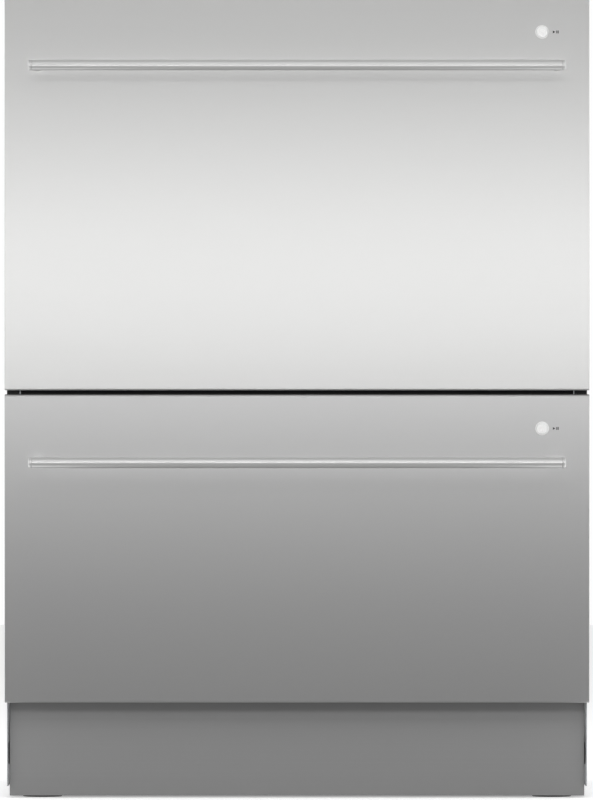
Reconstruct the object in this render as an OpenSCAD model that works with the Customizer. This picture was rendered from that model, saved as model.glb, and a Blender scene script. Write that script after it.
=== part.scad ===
// Built-in dishwasher with two drawers, one above the other, in one cabinet.
// Millimetres. +Z is up, the doors face -Y, and the origin is at the middle of the footprint on the floor.

/* [Cabinet] */
// Width of the steel cabinet behind the doors
chassis_w = 595; // [585:1:598]
// Depth from the face of the doors to the back panel
body_d = 573; // [560:1:600]
// Thickness of the folded cabinet sheet
sheet_t = 1.2; // [0.8:0.1:2]
// Height of the cabinet above the top edge of the upper door
top_margin = 2; // [1:0.5:10]
// Distance of the slides' back ends from the cabinet's back
slide_rear_room = 62; // [58:1:90]
// Width of the folded flanges around the cabinet sheets
flange_w = 14; // [10:0.5:14]
// Height of the rail that crosses the cabinet between the drawers
cross_rail_h = 15; // [10:0.5:15]
// Depth of that rail
cross_rail_d = 16; // [8:0.5:24]

/* [Doors] */
// How far the doors reach past the cabinet at each side
door_overhang = 2; // [1:0.5:4]
// Height of the upper door
upper_door_h = 402; // [398:1:430]
// Height of the lower door
lower_door_h = 316; // [312:1:318]
// Gap between the two doors
door_gap = 4; // [4:0.5:8]
// Thickness of a door
door_t = 20; // [18:0.5:24]
// Thickness of the brushed steel skin
skin_t = 1.2; // [0.8:0.1:1.5]
// Radius of the skin's front edges
skin_edge_r = 3; // [2:0.5:5]
// Thickness of the moulded door liner
liner_t = 3; // [2:0.5:4]
// Depth of the ribs on the liner
liner_rib = 9; // [4:0.5:12]

/* [Kickplate] */
// Height of the lower door's bottom edge above the floor
kick_h = 98; // [94:1:102]
// Distance of the kickplate's ends from the cabinet's sides
kick_side_gap = 2.5; // [2:0.5:12]
// Distance of the kickplate behind the face of the doors
kick_setback = 30; // [26:1:44]
// Gap between the kickplate and the floor
kick_floor_gap = 2; // [1:0.5:10]
// How far the kickplate reaches up behind the lower door
kick_lap = 2; // [0.5:0.5:3]
// Depth of the folds along the kickplate's top and bottom
kick_fold = 10; // [6:0.5:14]

/* [Handles] */
// Diameter of the round handle bar
bar_d = 11; // [9:0.5:16]
// Distance of the handle's ends from the door's sides
handle_side = 25; // [15:1:90]
// Distance of the bar's axis below the door's top edge
handle_drop = 70; // [50:1:110]
// Distance from the door's face to the front of the bar
handle_reach = 46; // [34:1:60]
// Thickness of the cast cap at each end of the bar
cap_t = 4; // [3:0.5:8]
// Diameter of the posts that carry the bar
post_d = 10; // [8:0.5:14]
// Diameter of the foot of each post
post_foot_d = 11; // [10:0.5:26]
// Thickness of the foot of each post
post_foot_t = 3; // [2:0.5:5]

/* [Start button] */
// Diameter of the button's trim ring
bezel_d = 14; // [14:0.5:18]
// How far the ring stands out of the door
bezel_t = 0.8; // [0.5:0.1:2]
// Diameter of the button cap
button_d = 11.6; // [8:0.1:11.8]
// How far the cap stands out of the ring
button_proud = 1; // [0.5:0.1:2]
// Stroke of the button
button_stroke = 1.5; // [1:0.1:2]
// Length of the button behind the door's face
button_stem = 9; // [6:0.5:11]
// Distance of the button from the door's right side
button_side = 48.5; // [20:0.5:90]
// Distance of the button below the door's top edge
button_drop = 35; // [20:1:36]

/* [Tubs] */
// Room at each side between a tub and the cabinet's sheet, for the slides
slide_room = 14.8; // [14.7:0.1:18]
// Room between a tub and the cabinet's back
tub_rear_room = 53; // [48:1:60]
// Wall of a tub
tub_wall = 4; // [3:0.5:5]
// Distance of a tub's rim below the door's top edge
rim_drop = 38; // [37:0.5:50]
// Height of the upper tub's underside above the upper door's bottom edge
upper_tub_lift = 52; // [52:1:54]
// Height of the lower tub's underside above the lower door's bottom edge
lower_tub_lift = 42; // [40:0.5:50]
// Radius of a tub's upright corners
tub_corner_r = 40; // [20:1:50]
// Width of the ledge around a tub's mouth, where the lid seals
rim_w = 12; // [10:0.5:16]
// Radius of the round well in a tub's floor
well_r = 106; // [90:1:115]
// Depth of that well
well_depth = 18; // [14:0.5:18]

/* [Washing] */
// Radius of the flat wash motor
motor_r = 90; // [60:1:95]
// Height of the wash motor
motor_h = 18; // [12:0.5:18]
// Radius of the motor shaft
shaft_r = 4; // [3:0.5:6]
// Radius of the wash impeller
impeller_r = 38; // [25:1:40]
// Height of the impeller
impeller_h = 9; // [6:0.5:10]
// Number of vanes on the impeller
impeller_vanes = 6; // [4:1:8]
// Radius of the filter plate over the well
filter_r = 128; // [118:1:140]
// Thickness of the filter plate
filter_t = 3; // [2:0.5:4]
// Number of slots in each ring of the filter plate
filter_slots = 24; // [12:1:30]
// Radius of the drain filter cup
cup_r = 24; // [18:1:26]
// Radius of the post that the spray arm turns on
arm_post_r = 12; // [8:0.5:14]
// Gap between the spray arm's tips and the tub's wall
arm_wall_gap = 24; // [14:1:60]
// Height of the spray arm's hub and blades
arm_t = 12; // [9:0.5:13]
// Width of a blade beside the hub
arm_root_w = 62; // [44:1:70]
// Width of a blade at its tip
arm_tip_w = 34; // [20:1:44]
// Number of jets on a blade
arm_jets = 5; // [3:1:6]

/* [Dish racks] */
// Gap between a dish rack's sides and the tub's walls
rack_side_gap = 12.5; // [11.5:0.5:18]
// Gap between a dish rack's ends and the tub's walls
rack_end_gap = 16; // [15:0.5:22]
// Thickness of the rack's wires
wire = 3; // [2.5:0.1:4]
// Height of a rack's floor above the tub's floor
rack_lift = 42; // [40:0.5:48]
// Height of a rack's sides
rack_side_h = 66; // [50:1:80]
// Height of the tines that hold plates
tine_h = 72; // [40:1:80]
// Distance between neighbouring tines
tine_pitch = 26; // [22:1:40]
// Number of tines in a row
tine_count = 14; // [8:1:15]

/* [Cup racks] */
// Width of the folding cup rack
cup_rack_w = 96; // [70:1:98]
// Distance of the cup rack's ends from the dish rack's ends
cup_rack_inset = 40; // [36:1:80]
// Height of its hinge above the tub's floor
cup_rack_z = 132; // [120:0.5:134]
// Radius of its hinge rod
hinge_r = 2.5; // [2:0.1:3]

/* [Cutlery baskets] */
// Width of a cutlery basket
basket_w = 84; // [60:1:90]
// Length of a cutlery basket
basket_len = 216; // [160:1:230]
// Height of a cutlery basket's walls
basket_h = 104; // [80:1:110]
// Thickness of its walls
basket_wall = 2.4; // [2:0.1:3]
// Height of its carrying handle above the walls
basket_handle_h = 42; // [30:1:50]

/* [Detergent dispensers] */
// Width of the dispenser's frame
dispenser_w = 116; // [100:1:130]
// Height of the dispenser's frame
dispenser_h = 74; // [60:1:78]
// Distance of the frame's top edge below the tub's rim
dispenser_drop = 8; // [6:1:12]
// How far the dispenser's cup reaches into the door
dispenser_deep = 14; // [10:0.5:18]
// Width of the flap over the detergent cup
flap_w = 58; // [40:1:60]
// Thickness of the flap
flap_t = 3; // [2:0.5:3]
// Radius of the rinse aid cap
rinse_cap_r = 15; // [10:1:18]

/* [Lids] */
// Thickness of a lid
lid_t = 14; // [10:0.5:14]
// Height of the soft seal under a lid
seal_h = 6; // [4:0.5:6]
// Width of the soft seal
seal_w = 6; // [4:0.5:7]
// How far a lid lifts off its tub
lid_lift = 8; // [4:0.5:8]
// Radius of the pins that guide a lid
guide_pin_r = 3; // [2:0.5:4]
// Length of those pins that stays in the guides when the lid is up
guide_grip = 16; // [10:0.5:18]

/* [Drawer slides] */
// Height of a slide's outer channel
slide_h = 45; // [38:1:46]
// Width of a slide across its channels
slide_w = 12.8; // [12:0.1:13]
// Thickness of the slide's steel
slide_t = 1.5; // [1:0.1:1.6]
// Height of a slide's axis above the tub's underside
slide_lift = 45; // [36:1:60]

/* [Base] */
// Height of the base tray's underside above the floor
tray_z = 34; // [30:0.5:36]
// Height of the base tray's walls
tray_h = 22; // [16:1:24]
// Thickness of the base tray
tray_wall = 3; // [2:0.5:4]
// Radius of the screws that carry the levelling feet
foot_screw_r = 5; // [4:0.5:6]
// Height of the top of those screws above the floor
foot_screw_top = 74; // [66:1:76]
// Radius of the feet
foot_r = 20; // [16:1:26]
// Distance of the feet from the cabinet's sides
foot_side = 35.5; // [30:0.5:60]
// Distance of the feet from the cabinet's front and back edges
foot_inset = 48; // [46:1:60]

/* [Connections] */
// Distance from the cabinet's back to the front of the connections
service_room = 42; // [40:1:50]
// Distance of the water inlet from the cabinet's right side
inlet_side = 92.5; // [80:0.5:110]
// Distance of the drain outlet from the cabinet's right side
drain_side = 177.5; // [160:0.5:200]
// Distance of the terminal box from the cabinet's left side
terminal_side = 102.5; // [90:0.5:140]
// Width of the terminal box
terminal_w = 100; // [80:1:120]
// Height of the terminal box above the cable's hole
terminal_rise = 24; // [16:1:30]
// Width of the bracket that carries the inlet valve
valve_w = 44; // [40:1:60]
// Height of the coil on the inlet valve
coil_h = 34; // [20:1:40]
// Width of the block that carries the drain spigot
drain_block_w = 40; // [28:1:60]
// Radius of the water inlet's thread, G3/4
inlet_r = 13.2; // [12:0.1:14]
// Length of the water inlet's thread
inlet_len = 14; // [10:0.5:16]
// Radius of the drain spigot
drain_r = 9.5; // [8:0.5:11]
// Length of the drain spigot
drain_len = 24; // [18:0.5:25]
// Radius of the mains cable's hole
cable_r = 4.5; // [3:0.5:5]
// Height of the connections above the floor
service_z = 84; // [80:0.5:90]
// Radius of the holes that fix the cabinet to the kitchen units
fixing_r = 2.5; // [2:0.5:3]
// Upright distance between those holes on a side
fixing_pitch = 460; // [440:1:480]

/* [Hidden] */

// Clearances
gap = 0.3;          // between pieces that pass or rest near each other
fit_gap = 0.06;     // around a turning or sliding pin
seat_gap = 0.05;    // around a fixed piece in its hole
side_gap = 1;       // between a tub and the cabinet's flanges
round_fn = 64;      // sides that stand for a true circle
arc_steps = 6;      // straight steps in a rounded sheet corner

// Depth positions
total_d = body_d + handle_reach;
face_y = handle_reach - total_d / 2;
door_back_y = face_y + door_t;
chassis_front_y = door_back_y + 2.5;
back_y = total_d / 2;
tub_d = back_y - tub_rear_room - door_back_y;
rack_d = tub_d - 2 * (tub_wall + rack_end_gap);
cup_rack_len = rack_d - 2 * cup_rack_inset;
arm_reach = tub_d / 2 - tub_wall - arm_wall_gap;
tub_mid_y = door_back_y + tub_d / 2;
tub_back_y = door_back_y + tub_d;

// Height positions
lower_door_z = kick_h;
lower_door_top = lower_door_z + lower_door_h;
upper_door_z = lower_door_top + door_gap;
upper_door_top = upper_door_z + upper_door_h;
chassis_top = upper_door_top + top_margin;
lower_tub_z = lower_door_z + lower_tub_lift;
upper_tub_z = upper_door_z + upper_tub_lift;
lower_tub_h = lower_door_h - lower_tub_lift - rim_drop;
upper_tub_h = upper_door_h - upper_tub_lift - rim_drop;

// Width positions
inner_x = chassis_w / 2 - sheet_t;
door_w = chassis_w + 2 * door_overhang;
kick_w = chassis_w - 2 * kick_side_gap;
handle_len = door_w - 2 * handle_side;
button_x = door_w / 2 - button_side;
foot_x = chassis_w / 2 - foot_side;
tub_w = 2 * (inner_x - slide_room);
rack_w = tub_w - 2 * (tub_wall + rack_side_gap);
rail_gap = 0.6;
middle_h = slide_h - 2 * slide_t - 2 * gap;
inner_h = middle_h - 2 * slide_t - 2 * gap;
slide_front_y = door_back_y + 11;
slide_len = back_y - slide_rear_room - slide_front_y;

// Colours
steel_grey = [0.74, 0.74, 0.75];
sheet_grey = [0.62, 0.64, 0.66];
dark_grey = [0.16, 0.16, 0.17];
tub_grey = [0.66, 0.69, 0.72];
part_grey = [0.45, 0.48, 0.52];
pale_grey = [0.86, 0.88, 0.9];
zinc_grey = [0.55, 0.57, 0.6];

// ---------- Shared shapes ----------

// Points of an arc from angle a to angle b
function arc(cx, cy, r, a, b, steps = arc_steps) =
    [for (i = [0 : steps]) let (turn = a + (b - a) * i / steps) [cx + r * cos(turn), cy + r * sin(turn)]];

// A rectangle centred on the origin with round corners
function round_rect(w, d, r) = concat(
    arc(w / 2 - r, d / 2 - r, r, 0, 90), arc(r - w / 2, d / 2 - r, r, 90, 180),
    arc(r - w / 2, r - d / 2, r, 180, 270), arc(w / 2 - r, r - d / 2, r, 270, 360));

// A rectangle whose front edge lies on zero and has round corners: u runs across it and v runs back
function front_round(w, d, r) = concat(
    [[w / 2, d], [-w / 2, d]], arc(r - w / 2, r, r, 180, 270, 4), arc(w / 2 - r, r, r, 270, 360, 4));

// A block with round front edges, from y = 0 back to d and from z = 0 up to h
module front_round_block(w, d, h, r) {
    intersection() {
        linear_extrude(h) polygon(front_round(w, d, r));
        translate([-w / 2, 0, h / 2]) rotate([90, 0, 90])
            linear_extrude(w) polygon([for (p = front_round(h, d, r)) [p[1], p[0]]]);
    }
}

// A box from one corner to the other
module span(low, high) {
    translate(low) cube(high - low);
}

// A box on each side of the middle, given for the right side
module span_both(low, high) {
    span(low, high);
    span([-high[0], low[1], low[2]], [-low[0], high[1], high[2]]);
}

// A cylinder along Y that starts at the given point
module rod_y(at, r, len) {
    translate(at) rotate([-90, 0, 0]) cylinder(h = len, r = r, $fn = round_fn);
}

// A cylinder along X that starts at the given point
module rod_x(at, r, len) {
    translate(at) rotate([0, 90, 0]) cylinder(h = len, r = r, $fn = round_fn);
}

// Places a shape on the upright axis in the middle of a tub, at height z
module at_axis(z) {
    translate([0, tub_mid_y, z]) children();
}

// A grid of flat wires, centred, with its bars evenly spread
module wire_grid(w, d, across, along) {
    for (i = [0 : across - 1]) {
        translate([-w / 2, -d / 2 + i * (d - wire) / (across - 1)]) square([w, wire]);
    }
    for (i = [0 : along - 1]) {
        translate([-w / 2 + i * (w - wire) / (along - 1), -d / 2]) square([wire, d]);
    }
}

// ---------- Cabinet ----------

slide_z_upper = upper_tub_z + slide_lift;
slide_z_lower = lower_tub_z + slide_lift;
notch_h = slide_h + 6;
flange_low_z = kick_h + kick_lap + 4;
panel_low_z = 12;
panel_top_z = chassis_top - sheet_t;
rail_screw_steps = [0.08, 0.5, 0.92];
screw_r = 2;
screw_head_r = 4;
screw_head_t = 2;
back_low_z = 132;
back_screw_steps = [0.06, 0.35, 0.65, 0.94];
back_screw_x = inner_x - flange_w / 2;
fixing_y = chassis_front_y + 12;
plate_h = 36;
plate_d = 20;
plate_gap = 2.5;
fixing_low_z = slide_z_lower + slide_h / 2 + plate_gap + plate_h / 2;

// Places of the rail screws along a side
function rail_screw_y(s) = slide_front_y + slide_len * s;
function back_screw_z(s) = back_low_z + (panel_top_z - back_low_z) * s;

// The right side panel: a sheet with flanges along its front and back
module side_panel() {
    color(sheet_grey) difference() {
        union() {
            span([inner_x, chassis_front_y, panel_low_z], [chassis_w / 2, back_y, panel_top_z]);
            span([inner_x - flange_w + sheet_t, chassis_front_y, flange_low_z],
                [inner_x, chassis_front_y + sheet_t, panel_top_z]);
            span([inner_x - flange_w, back_y - 2 * sheet_t, back_low_z],
                [inner_x, back_y - sheet_t, panel_top_z]);
        }
        for (z = [slide_z_lower, slide_z_upper]) {
            span([inner_x - flange_w - 1, chassis_front_y - 1, z - notch_h / 2],
                [inner_x, chassis_front_y + sheet_t + 1, z + notch_h / 2]);
            for (s = rail_screw_steps) rod_x([inner_x - 1, rail_screw_y(s), z], screw_r + seat_gap, 4);
        }
        for (s = back_screw_steps) {
            rod_y([back_screw_x, back_y - 2 * sheet_t - 1, back_screw_z(s)], screw_r + seat_gap, 4);
        }
        for (z = [fixing_low_z, fixing_low_z + fixing_pitch]) {
            rod_x([inner_x - 1, fixing_y, z], fixing_r, 4);
        }
    }
}

module side_panel_right() {
    side_panel();
}

module side_panel_left() {
    mirror([1, 0, 0]) side_panel();
}

// The top: a sheet over the sides, folded down inside them at the front and the back
module top_panel() {
    fold = 9;
    color(sheet_grey) {
        span([-chassis_w / 2, chassis_front_y, panel_top_z], [chassis_w / 2, back_y, chassis_top]);
        for (y = [chassis_front_y + sheet_t, back_y - 3 * sheet_t]) {
            span([-inner_x + flange_w + 1, y, panel_top_z - fold],
                [inner_x - flange_w - 1, y + sheet_t, panel_top_z]);
        }
    }
}

// The back: a sheet with two pressed stiffening beads, open below for the connections
module back_panel() {
    bead_w = 30;
    bead_t = 3;
    bead_x = 0.2 * chassis_w;
    color(sheet_grey) difference() {
        union() {
            span([-inner_x, back_y - sheet_t, back_low_z], [inner_x, back_y, panel_top_z]);
            for (x = [-bead_x, bead_x]) {
                span([x - bead_w / 2, back_y - sheet_t - bead_t, back_low_z + 60],
                    [x + bead_w / 2, back_y - sheet_t, panel_top_z - 60]);
            }
        }
        for (x = [-bead_x, bead_x]) {
            span([x - bead_w / 2 + sheet_t, back_y - bead_t, back_low_z + 60 + sheet_t],
                [x + bead_w / 2 - sheet_t, back_y + 1, panel_top_z - 60 - sheet_t]);
        }
        for (x = [-back_screw_x, back_screw_x], s = back_screw_steps) {
            rod_y([x, back_y - sheet_t - 1, back_screw_z(s)], screw_r + seat_gap, 4);
        }
    }
}

// The base: a moulded tray that catches leaks, with bosses for the feet and arms for the kickplate
tray_front_y = face_y + kick_setback + sheet_t + kick_fold + 6;
tray_back_y = back_y - 2 * sheet_t - 1;
foot_front_y = chassis_front_y + foot_inset;
foot_rear_y = back_y - foot_inset;
boss_r = foot_screw_r + 7;
boss_low_z = 20;
kick_back_y = face_y + kick_setback + sheet_t;
bracket_x = 0.305 * kick_w;
bracket_w = 40;

module base_tray() {
    color(part_grey) difference() {
        union() {
            difference() {
                span([-inner_x, tray_front_y, tray_z], [inner_x, tray_back_y, tray_z + tray_h]);
                span([-inner_x + tray_wall, tray_front_y + tray_wall, tray_z + tray_wall],
                    [inner_x - tray_wall, tray_back_y - tray_wall, tray_z + tray_h + 1]);
            }
            for (x = [-foot_x, foot_x], y = [foot_front_y, foot_rear_y]) {
                translate([x, y, boss_low_z])
                    cylinder(h = tray_z + tray_h - boss_low_z, r = boss_r, $fn = round_fn);
            }
            for (x = [-bracket_x, bracket_x]) {
                span([x - bracket_w / 2, kick_back_y, tray_z + 6],
                    [x + bracket_w / 2, tray_front_y, tray_z + 6 + tray_wall]);
                span([x - bracket_w / 2, kick_back_y, tray_z + 6],
                    [x + bracket_w / 2, kick_back_y + tray_wall, tray_z + 30]);
            }
        }
        for (x = [-foot_x, foot_x], y = [foot_front_y, foot_rear_y]) {
            translate([x, y, boss_low_z - 1]) cylinder(h = 80, r = foot_screw_r + fit_gap, $fn = round_fn);
        }
    }
}

// A levelling foot: a round pad, a hexagon for the spanner and the screw above it
module foot(x, y) {
    pad_t = 7;
    nut_t = 8;
    color(dark_grey) translate([x, y, 0]) union() {
        cylinder(h = pad_t, r = foot_r, $fn = round_fn);
        translate([0, 0, pad_t]) cylinder(h = nut_t, r = foot_screw_r * 1.9, $fn = 6);
        translate([0, 0, pad_t + nut_t - 0.5])
            cylinder(h = foot_screw_top - pad_t - nut_t + 0.5, r = foot_screw_r, $fn = round_fn);
    }
}

module foot_front_left() {
    foot(-foot_x, foot_front_y);
}

module foot_front_right() {
    foot(foot_x, foot_front_y);
}

module foot_rear_left() {
    foot(-foot_x, foot_rear_y);
}

module foot_rear_right() {
    foot(foot_x, foot_rear_y);
}

// The rail across the front, seen as the black line between the doors
cross_rail_z = lower_door_top + door_gap / 2 - cross_rail_h / 2 + 1;

module cross_rail() {
    wall = 2;
    color(dark_grey) difference() {
        span([-inner_x, chassis_front_y + sheet_t + gap, cross_rail_z],
            [inner_x, chassis_front_y + sheet_t + gap + cross_rail_d, cross_rail_z + cross_rail_h]);
        span([-inner_x - 1, chassis_front_y + sheet_t + gap + wall, cross_rail_z + wall],
            [inner_x + 1, chassis_front_y + cross_rail_d + 20, cross_rail_z + cross_rail_h - wall]);
    }
}

// The dark seal along the cabinet's front edges, interrupted where the slides come out
seal_strip_w = flange_w - 1;

module edge_seal() {
    color(dark_grey) difference() {
        span_both([chassis_w / 2 - seal_strip_w, door_back_y + gap, kick_h + 2],
            [chassis_w / 2, chassis_front_y, upper_door_top - 2]);
        for (z = [slide_z_lower, slide_z_upper]) {
            span_both([chassis_w / 2 - seal_strip_w - 1, door_back_y, z - notch_h / 2],
                [chassis_w / 2 + 1, chassis_front_y + 1, z + notch_h / 2]);
        }
    }
}

// The kickplate: a sheet folded back along its top and its bottom
module kickplate() {
    kick_y = face_y + kick_setback;
    kick_top = kick_h + kick_lap;
    color(steel_grey) {
        span([-kick_w / 2, kick_y, kick_floor_gap], [kick_w / 2, kick_y + sheet_t, kick_top]);
        for (z = [kick_floor_gap, kick_top - sheet_t]) {
            span([-kick_w / 2, kick_y + sheet_t, z], [kick_w / 2, kick_y + sheet_t + kick_fold, z + sheet_t]);
        }
    }
}

// Plates inside the front edges, drilled for the screws that hold the cabinet to the kitchen units
module mounting_brackets() {
    plate_t = 2;
    plate_y = chassis_front_y + sheet_t + 1;
    for (z = [fixing_low_z, fixing_low_z + fixing_pitch]) {
        color(zinc_grey) difference() {
            span_both([inner_x - plate_t, plate_y, z - plate_h / 2], [inner_x, plate_y + plate_d, z + plate_h / 2]);
            rod_x([-inner_x - 1, fixing_y, z], fixing_r, 2 * inner_x + 2);
        }
    }
}

// Screws: those that hold the slides, along both sides, and those of the back panel
module chassis_screws() {
    color(zinc_grey) {
        for (side = [0, 1], z = [slide_z_lower, slide_z_upper], s = rail_screw_steps) {
            mirror([side, 0, 0]) {
                rod_x([chassis_w / 2, rail_screw_y(s), z], screw_head_r, screw_head_t);
                rod_x([inner_x - slide_t, rail_screw_y(s), z], screw_r, sheet_t + slide_t + 0.5);
            }
        }
        for (x = [-back_screw_x, back_screw_x], s = back_screw_steps) {
            rod_y([x, back_y, back_screw_z(s)], screw_head_r, screw_head_t);
            rod_y([x, back_y - 2 * sheet_t, back_screw_z(s)], screw_r, 2 * sheet_t + 0.5);
        }
    }
}

// ---------- Connections at the lower back ----------

service_front_y = back_y - service_room;
tray_floor_z = tray_z + tray_wall;
inlet_x = chassis_w / 2 - inlet_side;
drain_x = chassis_w / 2 - drain_side;
terminal_x = terminal_side - chassis_w / 2;

// The inlet valve: a bracket on the tray, the valve with its coil, and the threaded spigot
module inlet_valve() {
    body_end_y = back_y - 2 - inlet_len;
    color(pale_grey) {
        difference() {
            union() {
                span([inlet_x - valve_w / 2, service_front_y, tray_floor_z],
                    [inlet_x + valve_w / 2, service_front_y + 3, service_z + inlet_r + 7]);
                rod_y([inlet_x, service_front_y, service_z], inlet_r + 4, body_end_y - service_front_y);
                rod_y([inlet_x, body_end_y - 0.5, service_z], inlet_r, inlet_len + 0.5);
                span([inlet_x - 0.4 * coil_h, service_front_y + 3, service_z],
                    [inlet_x + 0.4 * coil_h, service_front_y + 3 + coil_h / 2, service_z + coil_h]);
            }
            rod_y([inlet_x, service_front_y + 8, service_z], inlet_r - 4, service_room);
        }
    }
}

// The drain outlet: a bracket on the tray and a spigot for the hose
module drain_outlet() {
    spigot_y = back_y - 2 - drain_len;
    color(part_grey) {
        difference() {
            union() {
                span([drain_x - drain_block_w / 2, service_front_y + 6, tray_floor_z],
                    [drain_x + drain_block_w / 2, spigot_y, service_z + 2 * drain_r]);
                rod_y([drain_x, spigot_y - 0.5, service_z], drain_r, drain_len + 0.5);
            }
            rod_y([drain_x, service_front_y + 10, service_z], drain_r - 2.5, service_room);
        }
    }
}

// The terminal box, with the collar that the mains cable goes into
module terminal_box() {
    box_back_y = back_y - 0.38 * service_room;
    wall = 2.5;
    color(dark_grey) difference() {
        union() {
            difference() {
                span([terminal_x - terminal_w / 2, service_front_y - 4, tray_floor_z],
                    [terminal_x + terminal_w / 2, box_back_y, service_z + terminal_rise]);
                span([terminal_x - terminal_w / 2 + wall, service_front_y - 4 + wall, tray_floor_z + wall],
                    [terminal_x + terminal_w / 2 - wall, box_back_y - wall, service_z + terminal_rise - wall]);
            }
            rod_y([terminal_x, box_back_y - 0.5, service_z], cable_r + 4, 13.5);
        }
        rod_y([terminal_x, box_back_y - wall - 1, service_z], cable_r, 40);
    }
}

// ---------- Drawer slides ----------

// A channel that lies along Y on the right side, open towards the middle: x0 is its outer face
module channel(x0, width, height, y0, len, z) {
    difference() {
        span([x0 - width, y0, z - height / 2], [x0, y0 + len, z + height / 2]);
        span([x0 - width - 1, y0 - 1, z - height / 2 + slide_t],
            [x0 - slide_t, y0 + len + 1, z + height / 2 - slide_t]);
    }
}

outer_tip_x = inner_x - slide_w;
middle_x = inner_x - slide_t - rail_gap;
inner_rail_x = middle_x - slide_t - rail_gap;

module outer_rails() {
    for (side = [0, 1], z = [slide_z_lower, slide_z_upper]) {
        color(zinc_grey) mirror([side, 0, 0]) difference() {
            channel(inner_x, slide_w, slide_h, slide_front_y, slide_len, z);
            for (s = rail_screw_steps) {
                rod_x([inner_x - slide_t - 1, rail_screw_y(s), z], screw_r + seat_gap, 4);
            }
        }
    }
}

module middle_rails(z) {
    for (side = [0, 1]) {
        color(steel_grey) mirror([side, 0, 0])
            channel(middle_x, middle_x - outer_tip_x - gap, middle_h, slide_front_y, slide_len, z);
    }
}

// The inner rail is screwed to the tub's side and opens outwards, into the middle rail
module inner_rails(z) {
    for (side = [0, 1]) {
        color(zinc_grey) mirror([side, 0, 0]) difference() {
            span([tub_w / 2, slide_front_y, z - inner_h / 2],
                [inner_rail_x, slide_front_y + slide_len, z + inner_h / 2]);
            span([tub_w / 2 + slide_t, slide_front_y - 1, z - inner_h / 2 + slide_t],
                [inner_rail_x + 1, slide_front_y + slide_len + 1, z + inner_h / 2 - slide_t]);
        }
    }
}

// ---------- Lids ----------

lid_w = tub_w - 4;
lid_d = tub_d - 6;
lid_mid_y = tub_mid_y + 1;
guide_front_y = tub_mid_y - 0.35 * tub_d;
guide_rear_y = tub_mid_y + 0.39 * tub_d;
lug_x = inner_x - 6.5;
lug_t = 6;
lug_half = 9;
guide_in_x = tub_w / 2 + 2.5;
guide_pin_len = guide_grip + lid_lift;

// A lid: a flat moulding with a folded edge, ribs on its top, and lugs with guide pins at its sides
module lid(rim_z) {
    low = rim_z + gap + seal_h;
    skin = 3;
    rib = 3;
    color(tub_grey) {
        difference() {
            translate([0, lid_mid_y, low]) linear_extrude(lid_t)
                polygon(round_rect(lid_w, lid_d, tub_corner_r));
            for (col = [-1.5 : 1 : 1.5], row = [-1 : 1]) {
                cell_w = (lid_w - 2 * tub_corner_r) / 4;
                cell_d = (lid_d - 2 * tub_corner_r) / 3;
                translate([col * cell_w, lid_mid_y + row * cell_d, low + skin]) linear_extrude(lid_t)
                    square([cell_w - rib, cell_d - rib], center = true);
            }
        }
        for (y = [guide_front_y, guide_rear_y], side = [0, 1]) {
            mirror([side, 0, 0]) {
                span([lid_w / 2 - 6, y - lug_half, low + skin],
                    [lug_x + guide_pin_r + 1.5, y + lug_half, low + skin + lug_t]);
            }
        }
    }
    // The guide pins hang from the lugs
    color(zinc_grey) for (y = [guide_front_y, guide_rear_y], side = [0, 1]) {
        mirror([side, 0, 0]) translate([lug_x, y, low + skin - guide_pin_len])
            cylinder(h = guide_pin_len - seat_gap, r = guide_pin_r, $fn = round_fn);
    }
}

// The soft seal in the lid's underside
module lid_seal(rim_z) {
    color(dark_grey) translate([0, lid_mid_y, rim_z + gap]) linear_extrude(seal_h) difference() {
        polygon(round_rect(lid_w - 4, lid_d - 4, tub_corner_r - 2));
        polygon(round_rect(lid_w - 4 - 2 * seal_w, lid_d - 4 - 2 * seal_w, tub_corner_r - 2 - seal_w));
    }
}

// Guides for the lids' pins, and the two gear motors behind each tub that raise its lid
module lid_guides() {
    for (rim_z = [lower_tub_z + lower_tub_h, upper_tub_z + upper_tub_h]) {
        top = rim_z + gap + seal_h + 3 - gap;
        color(part_grey) for (y = [guide_front_y, guide_rear_y], side = [0, 1]) {
            mirror([side, 0, 0]) difference() {
                union() {
                    span([guide_in_x, y - 11, top - guide_pin_len - 5], [inner_x, y + 11, top]);
                    if (y == guide_rear_y) {
                        span([inner_x - 48, tub_back_y + 6, top - 50], [inner_x, tub_back_y + 36, top - 4]);
                        span([inner_x - 4, y, top - 24], [inner_x, tub_back_y + 8, top - 6]);
                    }
                }
                translate([lug_x, y, top - guide_pin_len - 1])
                    cylinder(h = guide_pin_len + 2, r = guide_pin_r + fit_gap, $fn = round_fn);
            }
        }
    }
}

// ---------- Doors ----------

// The brushed skin: a pressed pan with round edges, pierced for the start button
module door_skin(z, h) {
    color(steel_grey) difference() {
        translate([0, face_y, z]) front_round_block(door_w, door_t, h, skin_edge_r);
        translate([0, face_y + skin_t, z + skin_t])
            front_round_block(door_w - 2 * skin_t, door_t, h - 2 * skin_t, skin_edge_r - skin_t);
        rod_y([button_x, face_y - 1, z + h - button_drop], bezel_neck_r + seat_gap, skin_t + 2);
    }
}

// The liner closes the pan; its ribs stop short of the skin
module door_liner(z, h, frame_low) {
    low = z + skin_t;
    high = z + h - skin_t;
    half = door_w / 2 - skin_t;
    color(part_grey) difference() {
        union() {
            span([-half, door_back_y - liner_t, low], [half, door_back_y, high]);
            difference() {
                span([-half, door_back_y - liner_t - liner_rib, low], [half, door_back_y - liner_t, high]);
                span([-half + liner_t, door_back_y - liner_t - liner_rib - 1, low + liner_t],
                    [half - liner_t, door_back_y, high - liner_t]);
            }
            for (x = [-door_w / 3, -door_w / 6, door_w / 6, door_w / 3]) {
                span([x - liner_t / 2, door_back_y - liner_t - liner_rib, low],
                    [x + liner_t / 2, door_back_y - liner_t, high]);
            }
        }
        dispenser_body(frame_low, seat_gap);
    }
}

// ---------- Handles ----------

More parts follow.
